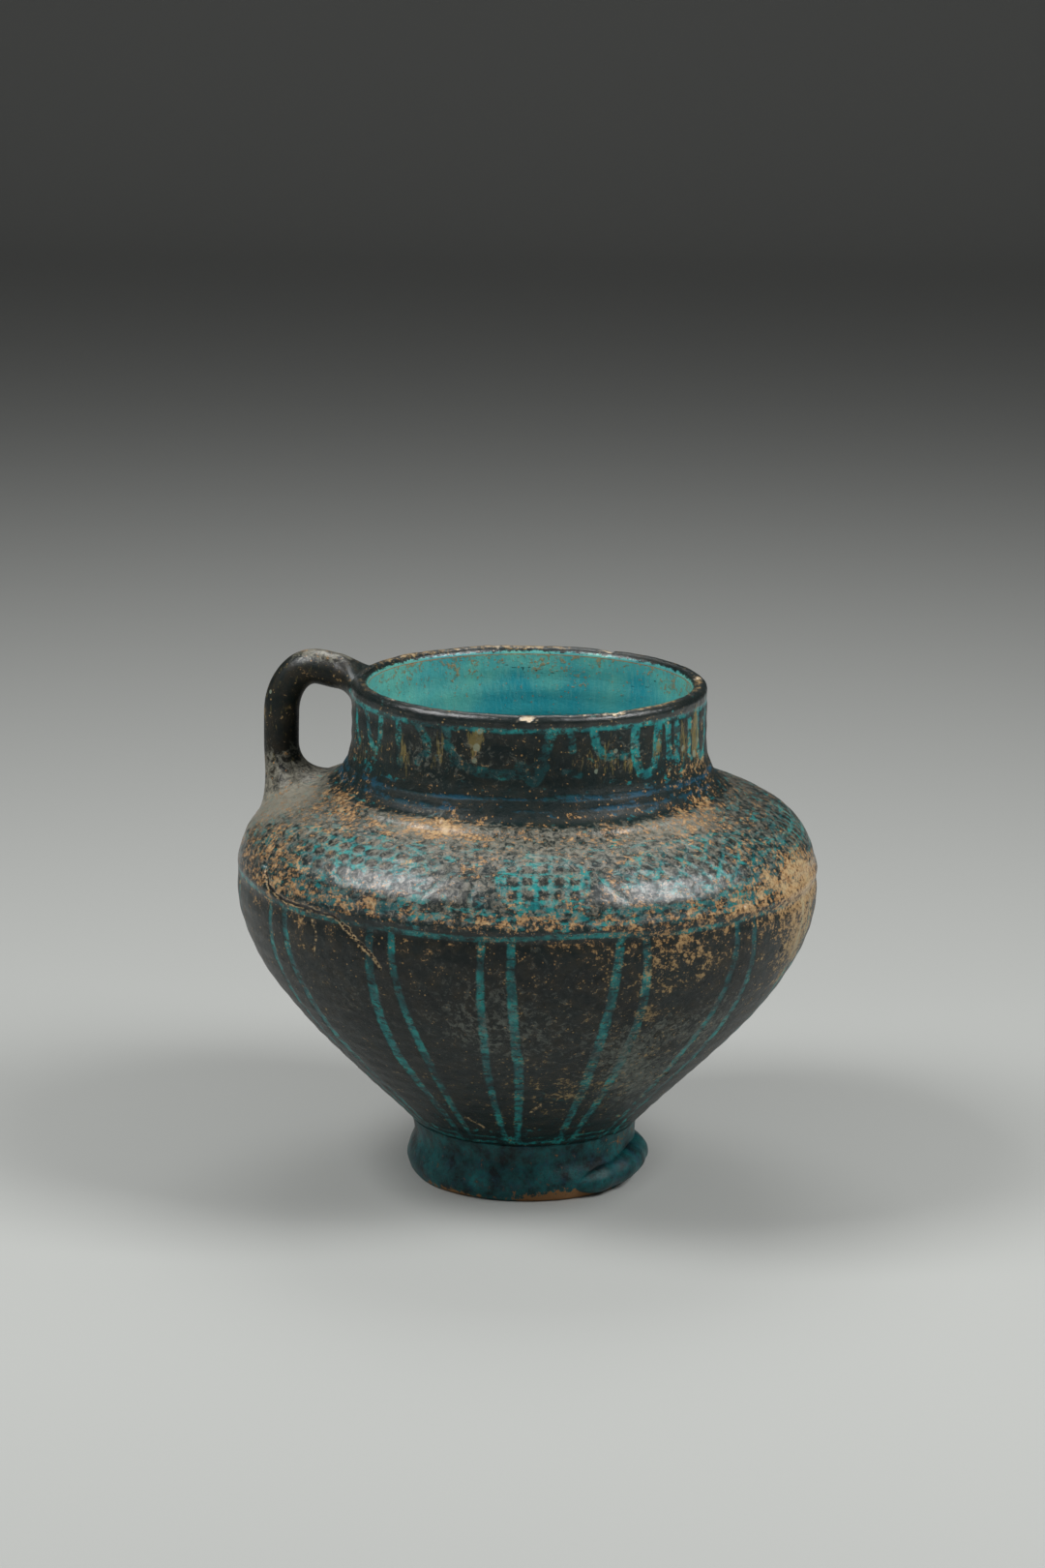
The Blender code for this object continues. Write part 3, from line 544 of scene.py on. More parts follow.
def gridPiece(name, points, fields, materials, faceMaterial=0, poles=False, sharp=55.0):
    # A grid of rows and columns becomes a mesh: columns close on themselves, rows close or end in poles
    rows, cols = points.shape[:2]
    ids = np.arange(rows * cols).reshape(rows, cols)
    low, high = (ids[:-1], ids[1:]) if poles else (ids, np.roll(ids, -1, 0))
    quads = np.stack([low, np.roll(low, -1, 1), np.roll(high, -1, 1), high], axis=-1)
    kinds = np.repeat(np.broadcast_to(faceMaterial, len(quads))[:, None], cols, 1)
    keep = np.ones(rows * cols, bool)
    inner = slice(1, -1) if poles else slice(None)
    middle = quads[inner].reshape(-1, 4)
    faces, faceKinds = [middle], [kinds[inner].ravel()]
    if poles:
        for end, ring, way in ((0, ids[1], 1), (-1, ids[-2], -1)):
            keep[ids[end, 1:]] = False
            faces.append(np.stack([np.full(cols, ids[end, 0]), np.roll(ring, -1), ring], axis=-1)[:, ::way])
            faceKinds.append(kinds[end])
    corners = np.concatenate([face.ravel() for face in faces])
    sizes = np.concatenate([np.full(len(face), face.shape[1]) for face in faces])
    begin = np.concatenate([[0], np.cumsum(sizes)[:-1]])
    place = points.reshape(-1, 3) * 0.001
    # signed volume tells which way the faces point
    a, b, c, d = [place[middle[:, k]] for k in range(4)]
    if (a * np.cross(b, c)).sum() + (a * np.cross(c, d)).sum() < 0.0:
        corners = corners[np.repeat(2 * begin + sizes - 1, sizes) - np.arange(len(corners))]
    mesh = bpy.data.meshes.new(name)
    mesh.vertices.add(int(keep.sum()))
    mesh.vertices.foreach_set("co", place[keep].astype(np.float32).ravel())
    mesh.loops.add(len(corners))
    mesh.loops.foreach_set("vertex_index", (np.cumsum(keep) - 1)[corners].astype(np.int32))
    mesh.polygons.add(len(sizes))
    mesh.polygons.foreach_set("loop_start", begin.astype(np.int32))
    mesh.update(calc_edges=True)
    for key, values in fields.items():
        vector = values.ndim == 3
        layer = mesh.attributes.new(key, "FLOAT_VECTOR" if vector else "FLOAT", "POINT")
        flat = values.reshape(rows * cols, -1)[keep].ravel()
        layer.data.foreach_set("vector" if vector else "value", flat.astype(np.float32))
    for material in materials:
        mesh.materials.append(material)
    mesh.polygons.foreach_set("material_index", np.concatenate(faceKinds).astype(np.int32))
    mesh.shade_smooth()
    mesh.set_sharp_from_angle(angle=math.radians(sharp))
    mesh.validate()
    piece = bpy.data.objects.new(name, mesh)
    bpy.context.scene.collection.objects.link(piece)
    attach(piece, "root")
    print(name, len(mesh.vertices), "points")
    return piece


# Materials
def toLinear(hexColour):
    parts = [int(hexColour[k:k + 2], 16) / 255.0 for k in (1, 3, 5)]
    return tuple(p / 12.92 if p <= 0.04045 else ((p + 0.055) / 1.055) ** 2.4 for p in parts) + (1.0,)


def perMm(size):
    # Texture scale for a feature of this size in millimetres
    return 1000.0 / size


def addNode(tree, kind, inputs=(), out=0, **settings):
    # Inputs go by socket name or number, and a list fills the sockets from the first
    node = tree.nodes.new("ShaderNode" + kind)
    for key, value in settings.items():
        setattr(node, key, value)
    for key, value in inputs.items() if isinstance(inputs, dict) else enumerate(inputs):
        if isinstance(value, bpy.types.NodeSocket):
            tree.links.new(value, node.inputs[key])
        else:
            node.inputs[key].default_value = value
    return node.outputs[out] if node.outputs else None


def newMaterial(name, finish):
    # An empty material, the add-node function for its tree, and its colours
    material = bpy.data.materials.new(name)
    material.use_nodes = True
    material.node_tree.nodes.clear()
    colours = {key: toLinear(value) for key, value in finish.items()}
    return material, partial(addNode, material.node_tree), colours


def patchesOver(node, noise, amount, limits, soft, full=1.0):
    # How far the noise stands over a limit that falls as the amount grows, and the patches this makes
    over = node("Math", [noise, node("MapRange", [amount, 0.0, 1.0, *limits])], operation="SUBTRACT")
    return over, node("MapRange", [over, 0.0, soft, 0.0, full], interpolation_type="SMOOTHSTEP")


def dotsOver(node, cells, amount, span, largest, soft, full):
    # Round dots in the cells of a grid of points, larger where the amount is higher
    size = node("MapRange", [amount, *span, 0.0, largest])
    edge = node("Math", [size, cells], operation="SUBTRACT")
    return node("MapRange", [edge, 0.0, soft, 0.0, full])


wallFinish = {
    "slipDark": "#060A09", "slipLight": "#111A18", "slipBrown": "#302A1E", "slipTeal": "#0E3234",
    "paintDeep": "#0B6A70", "paintMid": "#1B9490", "paintLight": "#4CBBAC", "paintBlue": "#0D4A62",
    "paintDim": "#113A3C", "insideDeep": "#2A9AA8", "insideMid": "#66BBAE", "insideLight": "#9ACFBC",
    # the pale grey dust colour is partly a painted sheen, where it lies on the upper shoulder, the front of
    # the bowl and the handle's crown
    "tan": "#B78650", "paleTan": "#D9B988", "rust": "#633F20", "ochre": "#7F7140", "dustAndSheen": "#9B9787",
    "film": "#6C7971", "olive": "#94845A", "body": "#D9C6A8", "drop": "#94A08C", "crackDark": "#0F0C0A",
}


def makeWallGlaze(finish):
    # Black slip under a clear turquoise alkaline glaze, brushed and scratched through: a dark satin gloss,
    # turquoise where the slip is cut away, and tan body where the glaze has flaked off
    material, node, colour = newMaterial("blackSlipAlkalineGlaze", finish)
    place = node("TexCoord", out=3)
    field = {key: node("Attribute", out=2, attribute_name=key) for key in (
        "ornament", "ground", "wear", "dustAndSheen", "ochre", "crack", "chip", "deep", "haze", "dim", "glass",
        "olive")}
    wrap = node("Attribute", out=1, attribute_name="wrap")
    runs = node("Mapping", {0: wrap, 3: (1.0, 1.0, 0.30)})
    bands = node("Mapping", {0: wrap, 3: (0.45, 0.45, 1.0)})
    across = node("Mapping", {0: wrap, 1: (0.31, 0.17, 0.43), 3: (0.45, 0.45, 1.0)})
    # coordinates, size in mm, detail, roughness and distortion of each noise
    clouds, mottle, grain, flake, streak, blotch, brush, pinhole = [
        node("TexNoise", {"Vector": at, "Scale": perMm(size), "Detail": detail, "Roughness": rough,
                          "Distortion": bent})
        for at, size, detail, rough, bent in (
            (place, 17.0, 3.0, 0.5, 0.0), (place, 4.6, 4.0, 0.6, 0.0), (place, 1.1, 4.0, 0.7, 0.0),
            (bands, 0.95, 7.0, 0.74, 0.4), (runs, 1.4, 5.0, 0.7, 0.0), (place, 1.9, 6.0, 0.7, 0.8),
            (across, 2.1, 4.0, 0.6, 0.0), (place, 0.6, 3.0, 0.7, 0.0))]
    smallCells, largeCells = [
        node("TexVoronoi", {"Vector": place, "Scale": perMm(size)}) for size in (1.2, 4.2)]

    # slip: soft clouds of warm and cold black, browner where the glaze is worn thin
    cloudy = node("MapRange", [clouds, 0.36, 0.66])
    thin = node("MapRange", [mottle, 0.42, 0.70, 0.0, 2.0])
    thin = node("Math", [thin, field["wear"]], operation="MULTIPLY", use_clamp=True)
    tinged = node("Math", [field["haze"], 0.55], operation="MULTIPLY")

    # paint: turquoise that runs from deep to pale, and dim in patches
    brighter = node("MapRange", [mottle, 0.38, 0.62])
    pale = node("MapRange", [grain, 0.52, 0.8, 0.0, 0.4])
    patchy = node("Math", [clouds, 1.4, mottle], operation="MULTIPLY_ADD")
    patchy = node("MapRange", [patchy, 1.45, 0.95, -0.6, 0.5])
    dimmed = node("Math", [field["dim"], patchy], operation="ADD", use_clamp=True)

    # brushed lines, edges broken at the size of a brush hair, pressed harder or lighter, rubbed across
    painted = field["ornament"]
    for uneven in ((grain, 0.25, 0.75, -0.26, 0.20), (mottle, 0.3, 0.7, -0.26, 0.22)):
        painted = node("Math", [painted, node("MapRange", uneven)], operation="ADD")
    painted = node("MapRange", [painted, -0.38, 0.38], interpolation_type="SMOOTHSTEP")
    rub = node("Math", [brush, flake], operation="ADD")
    rub = node("Math", [field["haze"], -0.20, rub], operation="MULTIPLY_ADD")
    rubbed = node("MapRange", [rub, 0.82, 0.94, 0.10, 1.0])
    painted = node("Math", [painted, rubbed], operation="MULTIPLY")

    # haze of turquoise brushing round the shoulder
    hazed = patchesOver(node, brush, field["haze"], (0.80, 0.40), 0.09, 0.85)[1]
    painted = node("Math", [painted, hazed], operation="MAXIMUM")

    # inside of the jug: turquoise ground, streaked where it ran and bluer where it pools
    softer = node("MapRange", [clouds, 0.35, 0.65])
    streaked = node("MapRange", [streak, 0.46, 0.82, 0.0, 0.45])
    border = node("MapRange", [flake, 0.25, 0.75, -1.1, 1.1])
    border = node("Math", [field["ground"], border], operation="ADD")
    turquoise = node("MapRange", [border, -0.25, 0.25], interpolation_type="SMOOTHSTEP")

    # ochre runs down the wall, and pale drops of spilt glaze among them, about 1.5 mm across
    run = patchesOver(node, streak, field["ochre"], (0.80, 0.34), 0.16, 0.8)[1]
    picked = node("Math", [largeCells.node.outputs[1], field["ochre"]], operation="MULTIPLY")
    drop = dotsOver(node, largeCells, picked, (0.16, 0.8), 0.34, 0.05, 0.55)

    # a thin film of burial dust, which on the upper shoulder, the front of the bowl and the handle's crown is
    # also a painted sheen
    film = node("MapRange", [blotch, 0.38, 0.62, -0.9, -0.1])
    film = node("Math", [field["dustAndSheen"], 1.4, film], operation="MULTIPLY_ADD", use_clamp=True)

    # flaked glaze: tan and rust flecks, a millimetre or less across, gathered where the wear is heavy,
    # and more olive on the bowl and under the lip than on the shoulder
    flecks = 0.0
    for part, weight in ((mottle, 0.24), (blotch, 0.24), (grain, 0.24), (flake, 0.28)):
        flecks = node("Math", [part, weight, flecks], operation="MULTIPLY_ADD")
    over, bare = patchesOver(node, flecks, field["wear"], (0.66, 0.42), 0.03)
    sandy = node("MapRange", [grain, 0.36, 0.56])
    paler = node("MapRange", [over, 0.02, 0.10, 0.0, 0.8])
    flaked = node("Math", [bare, 0.80], operation="MULTIPLY")

    # small specks of the same, half a millimetre across, in some cells of a grid of points
    picked = node("Math", [field["wear"], 0.6, smallCells.node.outputs[1]], operation="MULTIPLY_ADD")
    speck = dotsOver(node, smallCells, picked, (0.74, 1.3), 0.38, 0.06, 0.8)

    # cracks: dark in the bottom, tan along the broken edges
    rim = node("MapRange", [field["crack"], -0.5, -0.1, 0.0, 0.85])
    outer = node("Math", [1.0, turquoise], operation="SUBTRACT")
    for part in (node("MapRange", [flake, 0.44, 0.56]), outer):
        rim = node("Math", [rim, part], operation="MULTIPLY")
    gap = node("MapRange", [field["crack"], -0.1, 0.1])

    # colours laid over one another, each through its mask: the last stack is made of the others
    for name, ground, layers in (
            ("slip", "slipDark", [(cloudy, "slipLight"), (thin, "slipBrown"), (tinged, "slipTeal")]),
            ("paint", "paintDeep", [(brighter, "paintMid"), (pale, "paintLight"),
                                    (field["deep"], "paintBlue"), (dimmed, "paintDim")]),
            ("inside", "insideDeep", [(softer, "insideMid"), (streaked, "insideLight"),
                                      (field["deep"], "insideDeep")]),
            ("dustAndSheenTint", "dustAndSheen", [(field["olive"], "film")]),
            ("fleck", "rust", [(sandy, "tan"), (paler, "paleTan"), (field["olive"], "olive")]),
            ("surface", "slip", [(painted, "paint"), (turquoise, "inside"), (run, "ochre"), (drop, "drop"),
                                 (film, "dustAndSheenTint"), (flaked, "fleck"), (speck, "fleck"), (rim, "paleTan"),
                                 (gap, "crackDark"), (field["chip"], "body")])):
        colour[name] = colour[ground]
        for mask, tint in layers:
            colour[name] = node("Mix", {0: mask, 6: colour[name], 7: colour[tint]}, 2, data_type="RGBA")

    # gloss: satin slip, dull where flaked or under the pale film of dust and painted sheen, under a glassy
    # coat that is thickest on the shoulder
    gloss = node("MapRange", [field["glass"], 0.0, 1.0, 0.45, 0.25])
    gloss = node("Math", [mottle, 0.18, gloss], operation="MULTIPLY_ADD")
    for mask, dull in ((film, 0.62), (bare, 0.55), (field["chip"], 0.85)):
        gloss = node("Mix", {0: mask, 2: gloss, 3: dull})
    worn = node("MapRange", [blotch, 0.34, 0.56, 0.25, 1.0])
    glass = node("Math", [field["glass"], worn], operation="MULTIPLY")

    # skin: fine brush and pinhole grain, flakes with an edge, paint a little sunk
    height = 0.0
    for part, weight in ((grain, 0.5), (bare, 0.28), (painted, -0.15), (flake, 0.45)):
        height = node("Math", [part, weight, height], operation="MULTIPLY_ADD")
    shader = node("BsdfPrincipled", {
        "Base Color": colour["surface"], "Roughness": gloss, "IOR": 1.5, "Specular IOR Level": 0.22,
        "Normal": node("Bump", {"Height": height, "Strength": 0.7, "Distance": 0.0005}),
        "Coat Weight": glass, "Coat Roughness": 0.22, "Coat IOR": 1.6,
        "Coat Normal": node("Bump", {"Height": pinhole, "Strength": 0.4, "Distance": 0.0003})})
    node("OutputMaterial", [shader])
    return material


footFinish = {"deep": "#04191C", "teal": "#0C6B6D", "blue": "#0B4A62", "dark": "#070B0B", "brown": "#33281A",
              "tan": "#8E6842"}


def makeFootGlaze(finish):
    # Thick alkaline glaze over the turned foot: deep teal, darker in mottled patches, with a few bare specks
    material, node, colour = newMaterial("deepTealGlaze", finish)
    place = node("TexCoord", out=3)
    wear = node("Attribute", out=2, attribute_name="wear")
    clouds, mottle, flake = [
        node("TexNoise", {"Vector": place, "Scale": perMm(size), "Detail": detail, "Roughness": rough})
        for size, detail, rough in ((8.0, 6.0, 0.66), (3.0, 6.0, 0.7), (1.5, 7.0, 0.7))]
    worn = node("Math", [clouds, 0.5, flake], operation="MULTIPLY_ADD")
    bare = patchesOver(node, flake, wear, (0.74, 0.30), 0.04)[1]
    surface = colour["deep"]
    for mask, tint in ((node("MapRange", [clouds, 0.40, 0.66]), "teal"),
                       (node("MapRange", [mottle, 0.5, 0.75, 0.0, 0.7]), "blue"),
                       (node("MapRange", [mottle, 0.45, 0.3, 0.0, 0.8]), "dark"),
                       (node("MapRange", [worn, 0.78, 0.95, 0.0, 0.75]), "brown"), (bare, "tan")):
        surface = node("Mix", {0: mask, 6: surface, 7: colour[tint]}, 2, data_type="RGBA")
    shader = node("BsdfPrincipled", {
        "Base Color": surface, "Roughness": node("Mix", {0: bare, 2: 0.42, 3: 0.8}), "IOR": 1.5,
        "Specular IOR Level": 0.35,
        "Normal": node("Bump", {"Height": flake, "Strength": 0.5, "Distance": 0.0005})})
    node("OutputMaterial", [shader])
    return material


clayFinish = {"buff": "#B58A5E", "dark": "#7C5A3C"}


def makeBareClay(finish):
    # Fired buff clay, unglazed: dull, sandy, with darker grit
    material, node, colour = newMaterial("firedBuffClay", finish)
    place = node("TexCoord", out=3)
    grit = node("TexNoise", {"Vector": place, "Scale": perMm(1.2), "Detail": 5.0, "Roughness": 0.7})
    sandy = node("MapRange", [grit, 0.35, 0.65])
    surface = node("Mix", {0: sandy, 6: colour["dark"], 7: colour["buff"]}, 2, data_type="RGBA")
    shader = node("BsdfPrincipled", {
        "Base Color": surface, "Roughness": 0.85, "IOR": 1.5,
        "Normal": node("Bump", {"Height": grit, "Strength": 0.5, "Distance": 0.0004})})
    node("OutputMaterial", [shader])
    return material


wallGlaze = makeWallGlaze(wallFinish)
footGlaze = makeFootGlaze(footFinish)
bareClay = makeBareClay(clayFinish)
print("materials made")

wallSkin = {
    # inside: throwing rings and the heights where they fade, wear that grows with height, and a blue pool
    "insideRing": 0.12, "insidePitch": 7.5, "insideFade": (143.5, 137.0),
    "insideWear": (0.36, 0.24), "insideWorn": (128.0, 144.0), "pool": 0.8, "poolHeights": (138.0, 124.0),
    "poolTurn": 150.0, "poolReach": (75.0, 30.0), "blueReach": (5.0, 2.5), "unrolled": 0.07,
    # lip: least wear, rubbed wear and how much it changes, and the middle and half width of the rubbed band
    "lipWear": 0.12, "rub": (0.26, 0.60), "rubBand": (0.55, 0.26), "chipTint": 1.8,
}


def dressWall(name, rows, columns, poles=False):
    # A wall carried round the axis, with relief on the outside and lip, and every painted and weathered field
    turn, *grid = np.broadcast_arrays(ringTurns(columns), *[value[:, None] for value in rows.values()])
    grid = dict(zip(rows, grid))
    radius, height, walk, side = np.maximum(grid["rad"], 0.5), grid["hgt"], grid["walk"], grid["side"]
    face, inner, within = side < 0.01, side > 0.99, side > 0.5
    ornament = np.where(face, ornamentField(turn, walk, radius), farOff)
    crack = np.where(face, crackField(turn, walk, radius, damage["cracks"]), farOff)
    crack = np.where(inner, crackField(turn, height, radius, damage["insideCracks"]), crack)
    chip = chipField(turn, walk, radius)
    overLip = np.clip((walk - lipWalk) / lipRound, 0.0, 1.0)
    # the relief dies away over the lip, and the inner wall keeps only soft throwing rings
    lift = relief(turn, walk, radius, ornament, crack) * smoothStep(1.0, 0.5, overLip) - chip
    rings = wallSkin["insideRing"] * np.sin(height * 2 * math.pi / wallSkin["insidePitch"] + np.radians(turn))
    rings = rings * smoothStep(*wallSkin["insideFade"], height)
    lift = np.where(inner, rings, np.where(face, lift, 0.0))
    points = spin(turn, grid["rad"] + lift * grid["normR"], height + lift * grid["normZ"])
    fields = weatherFields(turn, walk, radius)
    for key in ("dustAndSheen", "ochre", "haze", "dim"):
        fields[key] = np.where(within, 0.0, fields[key])
    least, more = wallSkin["insideWear"]
    wear = np.where(within, least + more * smoothStep(*wallSkin["insideWorn"], height), fields["wear"])
    # worn buff in stretches along the top of the lip
    least, more = wallSkin["rub"]
    middle, half = wallSkin["rubBand"]
    rub = (least + more * roundNoise(turn, 2.6, 0.0, 41)) * np.exp(-((overLip - middle) / half) ** 2)
    ground = np.where(within, farIn, -farIn)
    # the line at the foot of the neck is bluer, and so is the pool inside at the lower right
    blue = smoothStep(*wallSkin["blueReach"], np.abs(walk - walkAtHeight(neckPaint["flareLine"][0])))
    pool = wallSkin["pool"] * smoothStep(*wallSkin["poolHeights"], height)
    pool = pool * smoothStep(*wallSkin["poolReach"], np.abs(wrapDegrees(turn - wallSkin["poolTurn"])))
    # unrolled place in metres: a circle of fixed radius, and the distance along the profile as third part
    angle, circle = np.radians(turn + frontAngle), wallSkin["unrolled"]
    fields.update(
        wear=np.where((overLip > 0.0) & ~within, wallSkin["lipWear"] + rub, wear),
        ornament=ornament, crack=crack, chip=np.clip(chip * wallSkin["chipTint"], 0.0, 1.0),
        ground=np.where(walk > lipWalk, walk - lipWalk - lipRound + 1.0, ground),
        deep=np.where(within, pool, np.where(face, blue, 0.0)),
        wrap=np.stack([circle * np.cos(angle), circle * np.sin(angle), walk * 0.001], axis=-1))
    # faces that run through the wall are bare clay
    edges = rows["side"] if poles else np.append(rows["side"], rows["side"][0])
    cut = np.abs(np.diff(edges)) > 0.01
    return gridPiece(name, points, fields, [wallGlaze, bareClay], cut.astype(int), poles)


def sectionRows(low, high, settings, crossing):
    # Up the outside, in through the wall, down the inside and out again
    rise, fall = np.linspace(low, high, settings["outer"]), np.linspace(high, low, settings["inner"])
    return joinRows(profileRows(rise, 0.0), profileRows(high, crossing), profileRows(fall, 1.0),
                    profileRows(low, crossing[::-1]))


seamGap = bodySizes["slipHalf"]
crossing = [0.33, 0.66]  # places of the rows that cross a wall

# Neck with a rounded lip
neckPiece = {"columns": 640, "outer": 78, "lip": 26, "inner": 36}
lowWalk = neckSeamWalk + seamGap
lipAngle = np.linspace(0.0, math.pi, neckPiece["lip"] + 2)[1:-1]
neckLip = {"rad": bodySizes["neckStart"][0] - lipHalf + lipHalf * np.cos(lipAngle),
           "hgt": bodySizes["lipHeight"] - lipHalf + lipHalf * np.sin(lipAngle),
           "normR": np.cos(lipAngle), "normZ": np.sin(lipAngle),
           "walk": lipWalk + lipHalf * lipAngle, "side": 0.0 * lipAngle}
neckInner = profileRows(np.linspace(lipWalk, lowWalk, neckPiece["inner"]), 1.0)
neckInner["walk"] = 2 * lipWalk + lipRound - neckInner["walk"]
neckRows = joinRows(profileRows(np.linspace(lowWalk, lipWalk, neckPiece["outer"]), 0.0), neckLip, neckInner,
                    profileRows(lowWalk, crossing[::-1]))
neck = dressWall("neckWall", neckRows, neckPiece["columns"])
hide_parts("neck_collar")

# Shoulder
domePiece = {"columns": 880, "outer": 80, "inner": 18}
domeRows = sectionRows(bellySeamWalk + seamGap, neckSeamWalk - seamGap, domePiece, crossing)
dome = dressWall("shoulderWall", domeRows, domePiece["columns"])
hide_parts("shoulder")

# Lower bowl, from the middle of its floor round to the middle of its underside
bowlPiece = {"columns": 600, "outer": 118, "inner": 24, "floor": 10, "under": 5,
             "lean": 0.62, "curl": 2.4}  # of the wall where the floor meets it, and of the floor
highWalk = bellySeamWalk - seamGap
floorHeight = bodySizes["floorHeight"]
floorWalk = float(np.interp(floorHeight + bodySizes["floorRise"],
                            curve[:, 1] + wallThickness(curve[:, 1]) * bowlPiece["lean"], curveWalk))
innerRows = profileRows(np.linspace(floorWalk, highWalk, bowlPiece["inner"]), 1.0)
reach = np.linspace(0.0, 1.0, bowlPiece["floor"] + 1)[:-1]
floorRows = {"rad": innerRows["rad"][0] * reach,
             "hgt": floorHeight + (innerRows["hgt"][0] - floorHeight) * reach ** bowlPiece["curl"],
             "normR": -0.5 * reach, "normZ": np.sqrt(1.0 - 0.25 * reach ** 2),
             "walk": np.full(len(reach), floorWalk), "side": np.ones(len(reach))}
outerRows = profileRows(np.linspace(highWalk, seamGap, bowlPiece["outer"]), 0.0)
inward = np.linspace(1.0, 0.0, bowlPiece["under"] + 1)[1:]
flat = np.ones(len(inward))
underRows = {"rad": outerRows["rad"][-1] * inward, "hgt": outerRows["hgt"][-1] * flat,
             "normR": 0.0 * flat, "normZ": -flat, "walk": 0.0 * flat, "side": 0.5 * flat}
bowlRows = joinRows(floorRows, innerRows, profileRows(highWalk, crossing[::-1]), outerRows, underRows)
bowl = dressWall("bowlWall", bowlRows, bowlPiece["columns"], True)
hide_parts("lower_bowl")

# Seams of slip that fill the joints flush with the wall
seamPiece = {"columns": 440, "outer": 4, "inner": 3}
for name, node, middle in (("bellySeam", "belly_luting_slip", bellySeamWalk),
                           ("neckSeam", "neck_luting_slip", neckSeamWalk)):
    seamRows = sectionRows(middle - seamGap, middle + seamGap, seamPiece, [0.5])
    seam = dressWall(name, seamRows, seamPiece["columns"])
    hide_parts(node)

# Foot ring: a turned ring with a waist, a flared lower edge and a recess underneath
footPiece = {
    "columns": 360,
    "outline": [(31.8, 0.0), (32.7, 0.5), (33.1, 1.3), (33.8, 3.2), (34.1, 5.2), (33.5, 7.8), (32.6, 10.2),
                (32.2, 11.8), (32.3, 13.6), (32.6, 15.2), (32.8, 16.4)],
    "recess": [(24.5, 16.4), (24.5, 8.0), (24.5, 1.4), (24.9, 0.5), (25.7, 0.0)],
    # bare patches: turn, height, half width, half height, strength
    "bare": [(24.0, 1.0, 15.0, 2.4, 0.9), (-40.0, 0.6, 12.0, 1.6, 0.5), (150.0, 1.0, 18.0, 2.0, 0.7),
             (60.0, 15.0, 12.0, 2.0, 0.3)],
    # dents: depth, width, height and seed, and the heights between which they fade
    "dents": [(0.7, 11, 8, 21), (0.3, 4, 3, 22)], "dentRadius": 33.0, "dentFade": (16.6, 13.0),
    "restHeight": 0.2, "wear": 0.22, "recessRadius": 31.5, "recessWear": 0.8,
}


def makeFoot(settings):
    # A smooth outline carried round the axis, with the dents of a hand-turned foot and a flat rest face
    outer = smoothLine(settings["outline"], 5)
    recess = np.array(settings["recess"])
    outline = np.concatenate([outer, np.linspace(outer[-1], recess[0], 4)[1:-1], recess,
                              np.linspace(recess[-1], outer[0], 4)[1:-1]])
    turn, radius, height = np.broadcast_arrays(ringTurns(settings["columns"]), outline[:, :1], outline[:, 1:])
    onSide = (np.arange(len(outline)) < len(outer) - 1)[:, None] & (height > settings["restHeight"])
    dent = sum(deep * (roundNoise(turn, settings["dentRadius"] / wide, height / high, seed) - 0.5)
               for deep, wide, high, seed in settings["dents"])
    radius = radius + np.where(onSide, dent * smoothStep(*settings["dentFade"], height), 0.0)
    wear = np.clip(settings["wear"] + spots(turn, height, radius, settings["bare"]), 0.0, 1.0)
    wear = np.where(radius < settings["recessRadius"], settings["recessWear"], wear)
    return gridPiece("footRing", spin(turn, radius, height), {"wear": wear}, [footGlaze])


foot = makeFoot(footPiece)
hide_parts("foot_ring")

# Seam between the foot and the bowl, swelling a little at the middle of its outside
footSlipPiece = {"columns": 240, "wear": 0.15, "outline": [
    (32.8, 16.4), (33.0, 16.7), (32.8, 17.0), (28.0, 17.0), (24.6, 17.0), (24.6, 16.4), (28.0, 16.4)]}
slipRadius, slipHeight = [np.array(column)[:, None] for column in zip(*footSlipPiece["outline"])]
slipPoints = spin(ringTurns(footSlipPiece["columns"]), slipRadius, slipHeight)
slipWear = np.full(slipPoints.shape[:2], footSlipPiece["wear"])
footSlip = gridPiece("footSeam", slipPoints, {"wear": slipWear}, [footGlaze])
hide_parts("foot_luting_slip")

# Roll of pooled glaze on the right of the foot, thick and blunt at its left end
rollPiece = {"start": 26.0, "end": 114.0, "leftMiddle": 4.4, "rightMiddle": 7.2, "halfHigh": 4.3,
             "thick": 2.9, "bed": 0.5, "lowest": 0.4, "along": 150, "around": 36, "wear": 0.12}


def makeRoll(settings):
    # A half-round bead that follows the foot: its height and thickness swell and sink along its length
    share = np.linspace(0.0, 1.0, settings["along"])[:, None]
    around = np.linspace(0.0, 2 * math.pi, settings["around"], endpoint=False)
    full = np.sqrt(between((0.0, 0.20, 1.0, 0.55), share))
    full = full * (1.0 + 0.07 * np.sin(share * 19.0) + 0.05 * np.sin(share * 37.0 + 1.0))
    climb = settings["rightMiddle"] - settings["leftMiddle"]
    middle = settings["leftMiddle"] + climb * smoothStep(0.0, 0.7, share)
    half = settings["halfHigh"] * (0.35 + 0.65 * np.minimum(full, 1.0))
    height = np.maximum(middle + half * np.sin(around), settings["lowest"])
    footRadius, footHeight = zip(*footPiece["outline"])
    bed = settings["bed"]
    radius = np.interp(height, footHeight, footRadius) - bed
    radius = radius + (settings["thick"] * full + bed) * np.clip(np.cos(around), -0.3, 1.0)
    turn = settings["start"] + (settings["end"] - settings["start"]) * share + 0.0 * around
    points = spin(turn, radius, height)
    # the left end closes on its middle, and the right end, flush with the foot, on one point of its last ring
    tip = np.repeat(points[:1].mean(1, keepdims=True), settings["around"], 1)
    points = np.concatenate([tip, points])
    wear = np.full(points.shape[:2], settings["wear"])
    return gridPiece("pooledGlaze", points, {"wear": wear}, [footGlaze], poles=True, sharp=180.0)


roll = makeRoll(rollPiece)
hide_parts("glaze_roll")
print("foot made")

